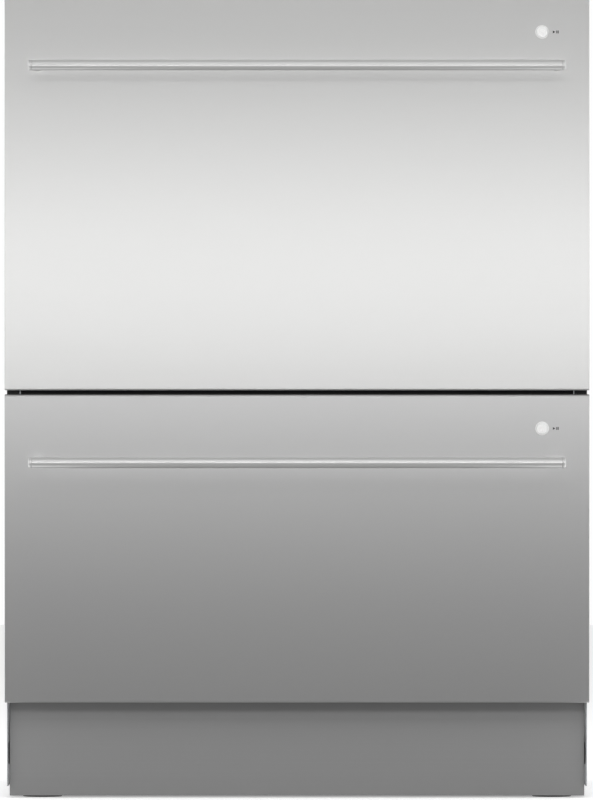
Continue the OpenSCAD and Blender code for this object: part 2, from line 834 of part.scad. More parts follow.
bar_y = face_y - handle_reach + bar_d / 2;
post_x = handle_len / 2 - cap_t - post_d / 2;

module handle_bar(z) {
    color(steel_grey) rod_x([-handle_len / 2 + cap_t, bar_y, z], bar_d / 2, handle_len - 2 * cap_t);
}

// At each end: the cap on the bar, and the post from behind the bar to its foot on the door
module handle_posts(z) {
    for (side = [0, 1]) {
        color(steel_grey) mirror([side, 0, 0]) difference() {
            union() {
                rod_x([handle_len / 2 - cap_t, bar_y, z], bar_d / 2, cap_t);
                rod_y([post_x, bar_y, z], post_d / 2, face_y - bar_y);
                span([post_x, bar_y, z - bar_d / 4], [handle_len / 2, bar_y + bar_d / 2 + 2, z + bar_d / 4]);
                rod_y([post_x, face_y - post_foot_t, z], post_foot_d / 2, post_foot_t);
            }
            rod_x([0, bar_y, z], bar_d / 2, handle_len / 2 - cap_t);
        }
    }
}

// ---------- Start buttons ----------

button_hole_r = button_d / 2 + 0.1;
bezel_neck_r = button_hole_r + 0.5;

// The trim ring: a flange on the door's face and a neck through the skin
module button_bezel(z) {
    color(pale_grey) difference() {
        union() {
            rod_y([button_x, face_y - bezel_t, z], bezel_d / 2, bezel_t);
            rod_y([button_x, face_y - 0.1, z], bezel_neck_r, skin_t + 2.1);
        }
        rod_y([button_x, face_y - bezel_t - 1, z], button_hole_r, 12);
    }
}

module button(z) {
    front = face_y - bezel_t - button_proud;
    color(pale_grey) union() {
        rod_y([button_x, front, z], button_d / 2, bezel_t + button_proud + button_stroke + 1.2);
        rod_y([button_x, face_y + button_stroke, z], button_d / 4, button_stem - button_stroke);
    }
}

// ---------- Tubs ----------

// The tub: an open moulding with a sealing ledge, a round well, and ledges that carry the rack
module tub(z, h) {
    inner_w = tub_w - 2 * tub_wall;
    inner_d = tub_d - 2 * tub_wall;
    inner_r = tub_corner_r - tub_wall;
    floor_z = z + tub_wall;
    ledge_reach = inner_w / 2 - rack_w / 2 + 5;
    ledge_len = 40;
    ledge_t = 8;
    color(tub_grey) difference() {
        union() {
            difference() {
                at_axis(z) linear_extrude(h) polygon(round_rect(tub_w, tub_d, tub_corner_r));
                at_axis(floor_z) linear_extrude(h - 2 * tub_wall) polygon(round_rect(inner_w, inner_d, inner_r));
                at_axis(floor_z) linear_extrude(h)
                    polygon(round_rect(tub_w - 2 * rim_w, tub_d - 2 * rim_w, tub_corner_r - rim_w));
            }
            at_axis(z - well_depth) cylinder(h = well_depth + 1, r = well_r + tub_wall, $fn = round_fn);
            for (y = [tub_mid_y - 0.3 * tub_d, tub_mid_y + 0.22 * tub_d]) {
                span_both([inner_w / 2 - ledge_reach, y, floor_z + rack_lift - ledge_t],
                    [inner_w / 2 + 1, y + ledge_len, floor_z + rack_lift]);
            }
        }
        at_axis(z - well_depth + tub_wall) cylinder(h = well_depth + 1, r = well_r, $fn = round_fn);
        at_axis(z - well_depth - 1) cylinder(h = tub_wall + 2, r = shaft_r + 0.5, $fn = round_fn);
        dispenser_body(dispenser_low(z, h), seat_gap);
    }
}

// The filter plate over the well: slotted, with the spray arm's post and the drain filter cup
module filter_plate(z) {
    floor_z = z + tub_wall;
    slot_w = 4;
    slot_start = 62;
    slot_len = 30;
    cup_at = (well_r - cup_r - 3) * sqrt(1 / 2);
    cup_depth = well_depth - 3;
    color(part_grey) difference() {
        union() {
            at_axis(floor_z) cylinder(h = filter_t, r = filter_r, $fn = round_fn);
            at_axis(floor_z + 1) cylinder(h = arm_z + arm_t - 1, r = arm_post_r, $fn = round_fn);
            at_axis(floor_z + 1) cylinder(h = arm_z - gap - 1, r = arm_post_r + 5, $fn = round_fn);
            translate([cup_at, tub_mid_y - cup_at, floor_z - cup_depth])
                cylinder(h = cup_depth + filter_t + 5, r = cup_r, $fn = round_fn);
        }
        translate([cup_at, tub_mid_y - cup_at, floor_z - cup_depth + 2])
            cylinder(h = cup_depth + filter_t + 5, r = cup_r - 2.5, $fn = round_fn);
        for (i = [0 : filter_slots - 1]) {
            angle = i * 360 / filter_slots;
            if (abs(angle - 315) > 25) {
                at_axis(floor_z - 1) rotate(angle)
                    translate([slot_start, -slot_w / 2, 0]) cube([slot_len, slot_w, filter_t + 2]);
            }
        }
    }
}

arm_z = filter_t + 12;
arm_bore_r = arm_post_r + fit_gap;

// Outline of one blade, from the hub out to its round tip
function blade(reach) = concat(
    [[0, -arm_root_w / 2]],
    arc(reach - arm_tip_w / 2, 0, arm_tip_w / 2, -90, 90, 8),
    [[0, arm_root_w / 2]]);

module spray_arm(z) {
    floor_z = z + tub_wall;
    jet_r = 3;
    jet_h = 1.5;
    color(pale_grey) translate([0, tub_mid_y, floor_z + arm_z]) difference() {
        union() {
            linear_extrude(arm_t) rotate(20) polygon(blade(arm_reach));
            linear_extrude(arm_t) rotate(200) polygon(blade(arm_reach));
            cylinder(h = arm_t, r = arm_root_w / 2 + 4, $fn = round_fn);
            for (turn = [20, 200], i = [1 : arm_jets]) {
                jet_x = arm_root_w / 2 + i * (arm_reach - arm_root_w) / arm_jets;
                rotate(turn) translate([jet_x, 0, arm_t - 0.5]) cylinder(h = jet_h + 0.5, r = jet_r, $fn = 24);
            }
        }
        translate([0, 0, -1]) cylinder(h = arm_t + 2, r = arm_bore_r, $fn = round_fn);
    }
}

// The wash motor: a flat housing under the well with cooling ribs around it
module wash_motor(z) {
    top = z - well_depth;
    ribs = 16;
    color(dark_grey) difference() {
        union() {
            at_axis(top - motor_h) cylinder(h = motor_h, r = motor_r - 6, $fn = round_fn);
            for (i = [0 : ribs - 1]) {
                at_axis(top - motor_h + 2) rotate(i * 360 / ribs)
                    translate([motor_r - 9, -1.5, 0]) cube([9, 3, motor_h - 2]);
            }
        }
        at_axis(top - motor_h + 4) cylinder(h = motor_h, r = shaft_r + fit_gap, $fn = round_fn);
    }
}

// The impeller: a disc with upright vanes, on the motor's shaft
module impeller(z) {
    top = z - well_depth;
    low = top + tub_wall + 0.5;
    shaft_low = top - motor_h + 4 + gap;
    hub_r = shaft_r + 5;
    color(part_grey) union() {
        at_axis(shaft_low) cylinder(h = low - shaft_low + 1, r = shaft_r, $fn = round_fn);
        at_axis(low) cylinder(h = 2, r = impeller_r, $fn = round_fn);
        at_axis(low) cylinder(h = impeller_h, r = hub_r, $fn = round_fn);
        for (i = [0 : impeller_vanes - 1]) {
            at_axis(low + 1) rotate((i + 0.5) * 360 / impeller_vanes) translate([hub_r - 1, -1, 0])
                cube([impeller_r - hub_r - 1, 2, impeller_h - 2]);
        }
    }
}

// ---------- Racks and baskets ----------

rack_floor_bars = 12;
rack_cross_bars = 10;
rack_side_bars = 9;
tine_rows = [for (share = [-0.37, -0.226, -0.038, 0.106]) share * rack_w];
cup_rack_y = tub_mid_y - cup_rack_len / 2;
cup_hinge_x = 4 - rack_w / 2 + wire + hinge_r;

// The dish rack: a wire floor, four wire sides and four rows of tines, each laid against the next,
// with eyes on the left side for the cup rack's hinge
module dish_rack(z) {
    low = z + tub_wall + rack_lift;
    on_floor = low + wire + seat_gap;
    wall_h = rack_side_h - wire - seat_gap;
    wall_mid = on_floor + wall_h / 2;
    side_d = rack_d - 2 * wire - 2 * seat_gap;
    tine_d = side_d - 2 * gap;
    color(pale_grey) at_axis(low) linear_extrude(wire)
        wire_grid(rack_w, rack_d, rack_cross_bars, rack_floor_bars);
    for (y = [tub_mid_y - rack_d / 2 + wire, tub_mid_y + rack_d / 2]) {
        color(pale_grey) translate([0, y, wall_mid]) rotate([90, 0, 0])
            linear_extrude(wire) wire_grid(rack_w, wall_h, 3, rack_side_bars);
    }
    color(pale_grey) translate([rack_w / 2 - wire, tub_mid_y, wall_mid]) rotate([90, 0, 90])
        linear_extrude(wire) wire_grid(side_d, wall_h, 3, rack_side_bars);
    hinged_rack_side(wall_mid, side_d, wall_h, z + tub_wall + cup_rack_z);
    for (x = tine_rows) {
        color(pale_grey) union() {
            span([x - wire / 2, tub_mid_y - tine_d / 2, on_floor],
                [x + wire / 2, tub_mid_y + tine_d / 2, on_floor + wire]);
            for (i = [0 : tine_count - 1]) {
                tine_y = tub_mid_y + (i - (tine_count - 1) / 2) * tine_pitch;
                span([x - wire / 2, tine_y - wire / 2, on_floor], [x + wire / 2, tine_y + wire / 2, low + tine_h]);
            }
        }
    }
}

// The rack's left side, with a post and an eye near each end of the cup rack
module hinged_rack_side(wall_mid, side_d, wall_h, eye_z) {
    eye = hinge_r + 2.5;
    color(pale_grey) difference() {
        union() {
            translate([-rack_w / 2, tub_mid_y, wall_mid]) rotate([90, 0, 90])
                linear_extrude(wire) wire_grid(side_d, wall_h, 3, rack_side_bars);
            for (y = [cup_rack_y - 6 - gap, cup_rack_y + cup_rack_len + gap]) {
                span([-rack_w / 2, y, wall_mid - wall_h / 2], [-rack_w / 2 + wire, y + 6, eye_z + eye]);
                span([-rack_w / 2, y, eye_z - eye], [cup_hinge_x + eye, y + 6, eye_z + eye]);
            }
        }
        rod_y([cup_hinge_x, cup_rack_y - 20, eye_z], hinge_r + fit_gap, cup_rack_len + 40);
    }
}

// The folding cup rack: a hinge rod and a flat wire shelf that lies level when folded down
module cup_rack(z) {
    axis_z = z + tub_wall + cup_rack_z;
    color(pale_grey) union() {
        rod_y([cup_hinge_x, cup_rack_y - 6, axis_z], hinge_r, cup_rack_len + 12);
        translate([cup_hinge_x + cup_rack_w / 2, tub_mid_y, axis_z - wire / 2])
            linear_extrude(wire) wire_grid(cup_rack_w, cup_rack_len, 9, 4);
    }
}

basket_x = rack_w / 2 - wire - 8 - basket_w / 2;
basket_y = tub_mid_y - 60;

// The cutlery basket: a slotted box with one divider and a carrying handle
module cutlery_basket(z) {
    low = z + tub_wall + rack_lift + wire + gap;
    slot = 5;
    half_w = basket_w / 2;
    half_l = basket_len / 2;
    color(pale_grey) difference() {
        union() {
            difference() {
                span([basket_x - half_w, basket_y - half_l, low],
                    [basket_x + half_w, basket_y + half_l, low + basket_h]);
                for (side = [-1, 1]) {
                    cell_y = basket_y + side * (half_l - basket_wall / 2) / 2;
                    translate([basket_x, cell_y, low + basket_wall]) linear_extrude(basket_h)
                        square([basket_w - 2 * basket_wall, half_l - 1.5 * basket_wall], center = true);
                }
            }
            span([basket_x - half_w, basket_y - basket_wall / 2, low],
                [basket_x + half_w, basket_y + basket_wall / 2, low + basket_h + basket_handle_h]);
        }
        span([basket_x - half_w + 12, basket_y - basket_wall, low + basket_h + 4],
            [basket_x + half_w - 12, basket_y + basket_wall, low + basket_h + basket_handle_h - 10]);
        for (side = [-1, 1], i = [-3 : 3]) {
            slot_y = basket_y + side * half_l / 2 + i * 13;
            span([basket_x - half_w - 1, slot_y - slot / 2, low + 14],
                [basket_x + half_w + 1, slot_y + slot / 2, low + basket_h - 22]);
        }
    }
}

// ---------- Detergent dispensers ----------

dispenser_x = -20;
dispenser_left = dispenser_x - dispenser_w / 2;
dispenser_right = dispenser_x + dispenser_w / 2;
dispenser_y = door_back_y + tub_wall;
dispenser_frame_t = 3;
frame_y = dispenser_y + dispenser_frame_t;
frame_edge = 8;
flap_y = frame_y + gap;
flap_edge = 10;
flap_left = dispenser_left + frame_edge;
flap_pin_r = 1.6;
flap_pin_x = flap_left + 3;
flap_pin_y = flap_y + flap_t / 2;
ear_h = 6;
rinse_x = dispenser_right - frame_edge - rinse_cap_r;

// Height of the lower edge of the dispenser's frame in a tub at height z with outer height h
function dispenser_low(z, h) = z + h - dispenser_drop - dispenser_h;

// The dispenser's cup as a plain block, grown by a margin: it also cuts the tub and the liner
module dispenser_body(frame_low, margin) {
    low = frame_low + frame_edge;
    high = frame_low + dispenser_h - frame_edge;
    span([dispenser_left + frame_edge - margin, door_back_y - dispenser_deep, low - margin],
        [dispenser_right - frame_edge + margin, dispenser_y + 0.5, high + margin]);
}

// The dispenser: its cup in the door, its frame inside the tub, the rinse aid cap and the flap's ears
module detergent_box(low) {
    mid_z = low + dispenser_h / 2;
    grip_h = 1.4 * rinse_cap_r;
    color(part_grey) difference() {
        union() {
            dispenser_body(low, 0);
            span([dispenser_left, dispenser_y, low], [dispenser_right, frame_y, low + dispenser_h]);
            rod_y([rinse_x, dispenser_y + 1, mid_z], rinse_cap_r, dispenser_frame_t + 3);
            for (ear_z = [low + 2, low + dispenser_h - ear_h - 2]) {
                span([flap_pin_x - 3, dispenser_y + 1, ear_z],
                    [flap_pin_x + 3, flap_y + flap_t + 1, ear_z + ear_h]);
            }
        }
        span([flap_left + frame_edge, door_back_y - dispenser_deep + 2, low + flap_edge + 4],
            [flap_left + flap_w - 5, frame_y + 1, low + dispenser_h - flap_edge - 4]);
        for (side = [-1, 1]) {
            span([rinse_x - 1.5 + 6 * side, frame_y + 2, mid_z - grip_h / 2],
                [rinse_x + 1.5 + 6 * side, frame_y + 10, mid_z + grip_h / 2]);
        }
        translate([flap_pin_x, flap_pin_y, low])
            cylinder(h = dispenser_h, r = flap_pin_r + fit_gap, $fn = round_fn);
    }
}

// The flap over the detergent cup, on an upright pin at its left edge
module detergent_flap(low) {
    color(pale_grey) union() {
        span([flap_pin_x, flap_y, low + flap_edge],
            [flap_left + flap_w, flap_y + flap_t, low + dispenser_h - flap_edge]);
        translate([flap_pin_x, flap_pin_y, low + 4])
            cylinder(h = dispenser_h - 8, r = flap_pin_r, $fn = round_fn);
    }
}

// ---------- The pieces of each drawer ----------

module upper_door_skin() door_skin(upper_door_z, upper_door_h);
module upper_door_liner() door_liner(upper_door_z, upper_door_h, dispenser_low(upper_tub_z, upper_tub_h));
module upper_handle_bar() handle_bar(upper_door_top - handle_drop);
module upper_handle_posts() handle_posts(upper_door_top - handle_drop);
module upper_button_bezel() button_bezel(upper_door_top - button_drop);
module upper_button() button(upper_door_top - button_drop);
module upper_tub() tub(upper_tub_z, upper_tub_h);
module upper_filter_plate() filter_plate(upper_tub_z);
module upper_wash_motor() wash_motor(upper_tub_z);
module upper_impeller() impeller(upper_tub_z);
module upper_spray_arm() spray_arm(upper_tub_z);
module upper_dish_rack() dish_rack(upper_tub_z);
module upper_cup_rack() cup_rack(upper_tub_z);
module upper_cutlery_basket() cutlery_basket(upper_tub_z);
module upper_detergent_box() detergent_box(dispenser_low(upper_tub_z, upper_tub_h));
module upper_detergent_flap() detergent_flap(dispenser_low(upper_tub_z, upper_tub_h));
module upper_inner_rails() inner_rails(slide_z_upper);
module upper_middle_rails() middle_rails(slide_z_upper);
module upper_lid() lid(upper_tub_z + upper_tub_h);
module upper_lid_seal() lid_seal(upper_tub_z + upper_tub_h);

module lower_door_skin() door_skin(lower_door_z, lower_door_h);
module lower_door_liner() door_liner(lower_door_z, lower_door_h, dispenser_low(lower_tub_z, lower_tub_h));
module lower_handle_bar() handle_bar(lower_door_top - handle_drop);
module lower_handle_posts() handle_posts(lower_door_top - handle_drop);
module lower_button_bezel() button_bezel(lower_door_top - button_drop);
module lower_button() button(lower_door_top - button_drop);
module lower_tub() tub(lower_tub_z, lower_tub_h);
module lower_filter_plate() filter_plate(lower_tub_z);
module lower_wash_motor() wash_motor(lower_tub_z);
module lower_impeller() impeller(lower_tub_z);
module lower_spray_arm() spray_arm(lower_tub_z);
module lower_dish_rack() dish_rack(lower_tub_z);
module lower_cup_rack() cup_rack(lower_tub_z);
module lower_cutlery_basket() cutlery_basket(lower_tub_z);
module lower_detergent_box() detergent_box(dispenser_low(lower_tub_z, lower_tub_h));
module lower_detergent_flap() detergent_flap(dispenser_low(lower_tub_z, lower_tub_h));
module lower_inner_rails() inner_rails(slide_z_lower);
module lower_middle_rails() middle_rails(slide_z_lower);
module lower_lid() lid(lower_tub_z + lower_tub_h);
module lower_lid_seal() lid_seal(lower_tub_z + lower_tub_h);

side_panel_left();
side_panel_right();
top_panel();
back_panel();
base_tray();
cross_rail();
edge_seal();
kickplate();
outer_rails();
mounting_brackets();
inlet_valve();
drain_outlet();
terminal_box();
chassis_screws();
lid_guides();
foot_front_left();
foot_front_right();
foot_rear_left();
foot_rear_right();
upper_door_skin();
upper_door_liner();
upper_handle_bar();
upper_handle_posts();
upper_button_bezel();
upper_button();
upper_tub();
upper_filter_plate();
upper_wash_motor();
upper_impeller();
upper_spray_arm();
upper_dish_rack();
upper_cup_rack();
upper_cutlery_basket();
upper_detergent_box();
upper_detergent_flap();
upper_inner_rails();
upper_middle_rails();
upper_lid();
upper_lid_seal();
lower_door_skin();
lower_door_liner();
lower_handle_bar();
lower_handle_posts();
lower_button_bezel();
lower_button();
lower_tub();
lower_filter_plate();
lower_wash_motor();
lower_impeller();
lower_spray_arm();
lower_dish_rack();
lower_cup_rack();
lower_cutlery_basket();
lower_detergent_box();
lower_detergent_flap();
lower_inner_rails();
lower_middle_rails();
lower_lid();
lower_lid_seal();
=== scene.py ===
"""Looks of a two-drawer dishwasher: camera, light, materials, and its finely shaped pieces.

Those pieces stand for plainer CAD solids. The other CAD solids show in a material of their own,
with broken edges. Lengths are in metres, and the doors face -y.
"""
import math

import bmesh
import bpy
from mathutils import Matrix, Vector


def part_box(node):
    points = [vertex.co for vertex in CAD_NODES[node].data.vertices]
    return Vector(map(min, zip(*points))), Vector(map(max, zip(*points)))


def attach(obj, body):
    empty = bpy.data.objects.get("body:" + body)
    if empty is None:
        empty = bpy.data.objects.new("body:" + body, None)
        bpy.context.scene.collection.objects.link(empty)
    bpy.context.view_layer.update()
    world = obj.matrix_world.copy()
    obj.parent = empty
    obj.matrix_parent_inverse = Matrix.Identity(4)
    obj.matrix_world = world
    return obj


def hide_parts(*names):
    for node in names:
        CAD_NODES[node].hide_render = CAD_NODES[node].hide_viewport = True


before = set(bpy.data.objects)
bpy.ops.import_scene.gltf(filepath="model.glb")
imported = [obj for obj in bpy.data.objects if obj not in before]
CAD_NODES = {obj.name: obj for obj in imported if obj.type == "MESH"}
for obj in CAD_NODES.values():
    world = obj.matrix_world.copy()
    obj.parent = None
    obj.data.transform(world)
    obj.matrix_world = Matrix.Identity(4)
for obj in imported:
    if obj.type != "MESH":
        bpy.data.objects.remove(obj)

for spare in ("Cube", "Light", "Camera"):
    if spare in bpy.data.objects and spare not in CAD_NODES:
        bpy.data.objects.remove(bpy.data.objects[spare])
bpy.context.view_layer.update()

DRAWERS = ("upper", "lower")
SIDES = (-1, 1)
FACE_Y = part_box("upper_door_skin")[0].y


def link(ob):
    bpy.context.scene.collection.objects.link(ob)
    return ob


# ---------- Camera ----------

PICTURE_SPAN = 0.8192               # height of the picture at the doors' face
PICTURE_MID = (-0.0005, 0.4081)     # x and z of its middle
CAMERA_DISTANCE = 12.0
SENSOR = 36.0                       # in mm, along the picture's height
CLIP_NEAR, CLIP_FAR = 0.5, 60


def add_camera():
    """A camera straight in front of the doors, from so far that it shows hardly any perspective."""
    data = bpy.data.cameras.new("camera")
    data.sensor_width = SENSOR
    data.lens = SENSOR * CAMERA_DISTANCE / PICTURE_SPAN
    data.clip_start = CLIP_NEAR
    data.clip_end = CLIP_FAR
    ob = link(bpy.data.objects.new("camera", data))
    ob.location = (PICTURE_MID[0], FACE_Y - CAMERA_DISTANCE, PICTURE_MID[1])
    ob.rotation_euler = (math.radians(90), 0, 0)
    bpy.context.scene.camera = ob


# ---------- Studio ----------

WHITE = (1, 1, 1, 1)
WORLD_FILL = 0.5

FLOOR_HALF = 9.0
FLOOR_COLOR = (0.86, 0.86, 0.86, 1)
FLOOR_ROUGHNESS = 0.9
FLOOR_SPECULAR = 0.1
FLOOR_GLOW = 0.4    # lifts the floor to white where the camera or a mirror sees it

# The studio's grey wall, floor and ceiling in front of the steel and above it: they show in
# reflections alone
ROOM_HALF = 4.5
ROOM_FRONT, ROOM_BACK = -3.4, 2.0
ROOM_TOP = 3.4
ROOM_LOW = 0.002
ROOM_FLOOR_NEAR = -0.45
UNDER_HALF = 0.3    # the shadowed floor under the machine
WALL_GREY, FLOOR_GREY, CEILING_GREY = 0.05, 0.25, 0.35

STRIP_Z = 0.55
STRIP_AWAY = 1.3
UPPER_DOOR = (0, -0.3, 0.75)


def node(tree, kind, **settings):
    made = tree.nodes.new("ShaderNode" + kind)
    for key, value in settings.items():
        setattr(made, key, value)
    return made


def background_rays(tree):
    """1 for the rays that show the background itself: seen, mirrored or passed through glass."""
    path = node(tree, "LightPath")
    seen = path.outputs["Is Camera Ray"]
    for kind in ("Is Glossy Ray", "Is Transmission Ray"):
        most = node(tree, "Math", operation="MAXIMUM")
        tree.links.new(seen, most.inputs[0])
        tree.links.new(path.outputs[kind], most.inputs[1])
        seen = most.outputs[0]
    return seen


def lying(half_x, near, far, z):
    """Corners of a level rectangle that is centred across the machine."""
    return [(-half_x, near, z), (half_x, near, z), (half_x, far, z), (-half_x, far, z)]


def add_stage_plane(name, corners):
    mesh = bpy.data.meshes.new(name)
    mesh.from_pydata(corners, [], [tuple(range(len(corners)))])
    ob = link(bpy.data.objects.new(name, mesh))
    return ob


def make_world():
    """A soft fill, and white where the background itself is seen."""
    world = bpy.data.worlds.new("studio")
    bpy.context.scene.world = world
    world.use_nodes = True
    tree = world.node_tree
    tree.nodes.clear()
    mix = node(tree, "MixShader")
    tree.links.new(background_rays(tree), mix.inputs[0])
    for socket, strength in ((1, WORLD_FILL), (2, 1.0)):
        light = node(tree, "Background")
        light.inputs["Color"].default_value = WHITE
        light.inputs["Strength"].default_value = strength
        tree.links.new(light.outputs[0], mix.inputs[socket])
    out = node(tree, "OutputWorld")
    tree.links.new(mix.outputs[0], out.inputs["Surface"])


def make_floor():
    """A pale floor that keeps the machine's shadow and is white elsewhere."""
    floor = add_stage_plane("floor", lying(FLOOR_HALF, -FLOOR_HALF, FLOOR_HALF, 0))
    mat = bpy.data.materials.new("floor")
    mat.use_nodes = True
    tree = mat.node_tree
    bsdf = tree.nodes["Principled BSDF"]
    bsdf.inputs["Base Color"].default_value = FLOOR_COLOR
    bsdf.inputs["Roughness"].default_value = FLOOR_ROUGHNESS
    bsdf.inputs["Specular IOR Level"].default_value = FLOOR_SPECULAR
    bsdf.inputs["Emission Color"].default_value = WHITE
    glow = node(tree, "Math", operation="MULTIPLY")
    glow.inputs[1].default_value = FLOOR_GLOW
    tree.links.new(background_rays(tree), glow.inputs[0])
    tree.links.new(glow.outputs[0], bsdf.inputs["Emission Strength"])
    floor.data.materials.append(mat)


def add_grey_card(name, level, corners):
    """A card of even grey that only mirrors see."""
    mat = bpy.data.materials.new(name)
    mat.use_nodes = True
    tree = mat.node_tree
    tree.nodes.clear()
    light = node(tree, "Emission")
    light.inputs["Color"].default_value = (level, level, level, 1)
    out = node(tree, "OutputMaterial")
    tree.links.new(light.outputs[0], out.inputs["Surface"])
    card = add_stage_plane(name, corners)
    card.data.materials.append(mat)
    for ray in ("camera", "diffuse", "transmission", "shadow", "volume_scatter"):
        setattr(card, "visible_" + ray, False)


def make_grey_room():
    across = (-ROOM_HALF, ROOM_HALF)
    wall = [(x, ROOM_FRONT, ROOM_LOW) for x in across]
    wall += [(x, ROOM_FRONT, ROOM_TOP) for x in reversed(across)]
    add_grey_card("grey_wall", WALL_GREY, wall)
    add_grey_card("grey_floor", FLOOR_GREY, lying(ROOM_HALF, ROOM_FRONT, ROOM_FLOOR_NEAR, ROOM_LOW))
    add_grey_card("grey_under", FLOOR_GREY,
                  lying(UNDER_HALF, ROOM_FLOOR_NEAR, UNDER_HALF, ROOM_LOW))
    add_grey_card("grey_ceiling", CEILING_GREY, lying(ROOM_HALF, ROOM_FRONT, ROOM_BACK, ROOM_TOP))


def add_lamp(name, watts, size, place, aim):
    """A soft rectangular lamp that the camera doesn't see."""
    data = bpy.data.lights.new(name, "AREA")
    data.shape = "RECTANGLE"
    data.size, data.size_y = size
    data.energy = watts
    ob = link(bpy.data.objects.new(name, data))
    ob.location = place
    ob.rotation_euler = (Vector(aim) - Vector(place)).to_track_quat("-Z", "Y").to_euler()
    ob.visible_camera = False
    return ob


bpy.context.scene.view_settings.view_transform = "Standard"
add_camera()
make_world()
make_floor()
make_grey_room()
strip_lamp = add_lamp("strip", 12.3, (6.0, 0.2), (0, FACE_Y - STRIP_AWAY, STRIP_Z),
                      (0, FACE_Y, STRIP_Z))
add_lamp("key", 4.0, (6.0, 0.12), (0, -1.6, 1.08), UPPER_DOOR)
add_lamp("top_front", 12, (4.0, 1.4), (0, -2.2, 2.1), UPPER_DOOR)
add_lamp("overhead", 32, (3.0, 3.0), (0, 0.2, 3.0), (0, 0.2, 0)).visible_glossy = False

# ---------- Materials ----------

NOISE_SHIFT = (7.3, 3.1, 5.7)           # moves one seed's noise away from the next one's
BROAD_GRAIN = 0.13                      # features of a metal's broad noise for each of its grain
MOULD_SWIRLS = (14, 14, 14)             # slow changes of a plastic's gloss, features a metre

DOOR_STEEL = dict(roughness=0.275, grain=(1.5, 1700, 1700), rough_by=0.0008, relief=0,
                  Anisotropic=0.6, Metallic=0.9)

FILTER_HOLES_PER_M = 420
FILTER_HOLE_EDGE = (0.24, 0.32)         # a hole's rim, in shares of the holes' pitch
FILTER_POST_EDGE = (0.0155, 0.0156)     # no holes inside this radius, where the post stands
FILTER_HOLE_DEPTH = 2e-4
# Painted shade in the holes, standing for the dark under the sheet
FILTER_HOLE_PAINTED_SHADE = (0.05, 0.05, 0.052)

ZINC_FLAKES_PER_M = 170


class Surface:
    """A node material whose patterns lie in the object's own metres."""

    def __init__(self, name, color, metallic=0.0, roughness=0.5, **sockets):
        self.color = color
        self.roughness = roughness
        self.mat = bpy.data.materials.new(name)
        self.mat.use_nodes = True
        self.tree = self.mat.node_tree
        self.bsdf = self.tree.nodes["Principled BSDF"]
        self.bsdf.inputs["Base Color"].default_value = (*color, 1)
        self.bsdf.inputs["Metallic"].default_value = metallic
        self.bsdf.inputs["Roughness"].default_value = roughness
        for key, value in sockets.items():
            self.bsdf.inputs[key].default_value = value
        self.place = node(self.tree, "TexCoord").outputs["Object"]
        self.height = None

    def link(self, a, b):
        self.tree.links.new(a, b)

    def noise(self, per_m, detail, rough, seed=0.0):
        """Noise with so many features a metre along x, y and z."""
        mapping = node(self.tree, "Mapping")
        mapping.inputs["Location"].default_value = tuple(seed * step for step in NOISE_SHIFT)
        mapping.inputs["Scale"].default_value = per_m
        self.link(self.place, mapping.inputs["Vector"])
        made = node(self.tree, "TexNoise")
        made.inputs["Scale"].default_value = 1.0
        made.inputs["Detail"].default_value = detail
        made.inputs["Roughness"].default_value = rough
        self.link(mapping.outputs[0], made.inputs["Vector"])
        return made.outputs["Fac"]

    def cells(self, per_m, randomness, dimensions="3D"):
        """Voronoi cells, so many a metre."""
        made = node(self.tree, "TexVoronoi", feature="F1", voronoi_dimensions=dimensions)
        made.inputs["Scale"].default_value = per_m
        made.inputs["Randomness"].default_value = randomness
        self.link(self.place, made.inputs["Vector"])
        return made.outputs

    def spread(self, fac, low, high, start=0.3, end=0.7):
        """Maps the part of a pattern from start to end to a range."""
        made = node(self.tree, "MapRange")
        ranges = {"From Min": start, "From Max": end, "To Min": low, "To Max": high}
        for key, value in ranges.items():
            made.inputs[key].default_value = value
        self.link(fac, made.inputs["Value"])
        return made.outputs[0]

    def tint(self, fac, share, other=None):
        """Mixes the colour towards a darker one, or another one, with the pattern."""
        other = other or tuple(c * (1 - share) for c in self.color)
        light = tuple(min(1.0, c * (1 + share)) for c in self.color)
        mix = node(self.tree, "Mix", data_type="RGBA")
        now = self.bsdf.inputs["Base Color"]
        if now.is_linked:
            self.link(now.links[0].from_socket, mix.inputs["A"])
        else:
            mix.inputs["A"].default_value = (*light, 1)
        mix.inputs["B"].default_value = (*other, 1)
        self.link(fac, mix.inputs["Factor"])
        self.link(mix.outputs["Result"], now)

    def rough(self, fac, by):
        """Varies the roughness by so much each way."""
        varied = self.spread(fac, self.roughness - by, self.roughness + by)
        self.link(varied, self.bsdf.inputs["Roughness"])

    def bump(self, fac, height):
        """Adds relief of the given height to what there is."""
        made = node(self.tree, "Bump")
        made.inputs["Strength"].default_value = 1.0
        made.inputs["Distance"].default_value = height
        self.link(fac, made.inputs["Height"])
        if self.height is not None:
            self.link(self.height, made.inputs["Normal"])
        self.height = made.outputs[0]
        self.link(self.height, self.bsdf.inputs["Normal"])

    def brush(self, axis, rotation=0.25):
        """Stretches highlights along the direction round the axis, turned by a share of a turn."""
        tangent = node(self.tree, "Tangent", direction_type="RADIAL", axis=axis)
        self.link(tangent.outputs[0], self.bsdf.inputs["Tangent"])
        self.bsdf.inputs["Anisotropic Rotation"].default_value = rotation
        return self


def metal(name, color, roughness, grain, colour_share=0.02, rough_by=0.02, relief=2e-6,
          **sockets):
    """Metal with a drawn grain: grain is features a metre along x, y, z."""
    made = Surface(name, color, 1.0, roughness, **sockets)
    fine = made.noise(grain, 3, 0.6)
    broad = made.noise(tuple(g * BROAD_GRAIN for g in grain), 3, 0.5, 1)
    made.tint(made.spread(fine, 0, 1, 0.25, 0.75), colour_share)
    made.rough(broad, rough_by)
    if relief:
        made.bump(fine, relief)
    return made


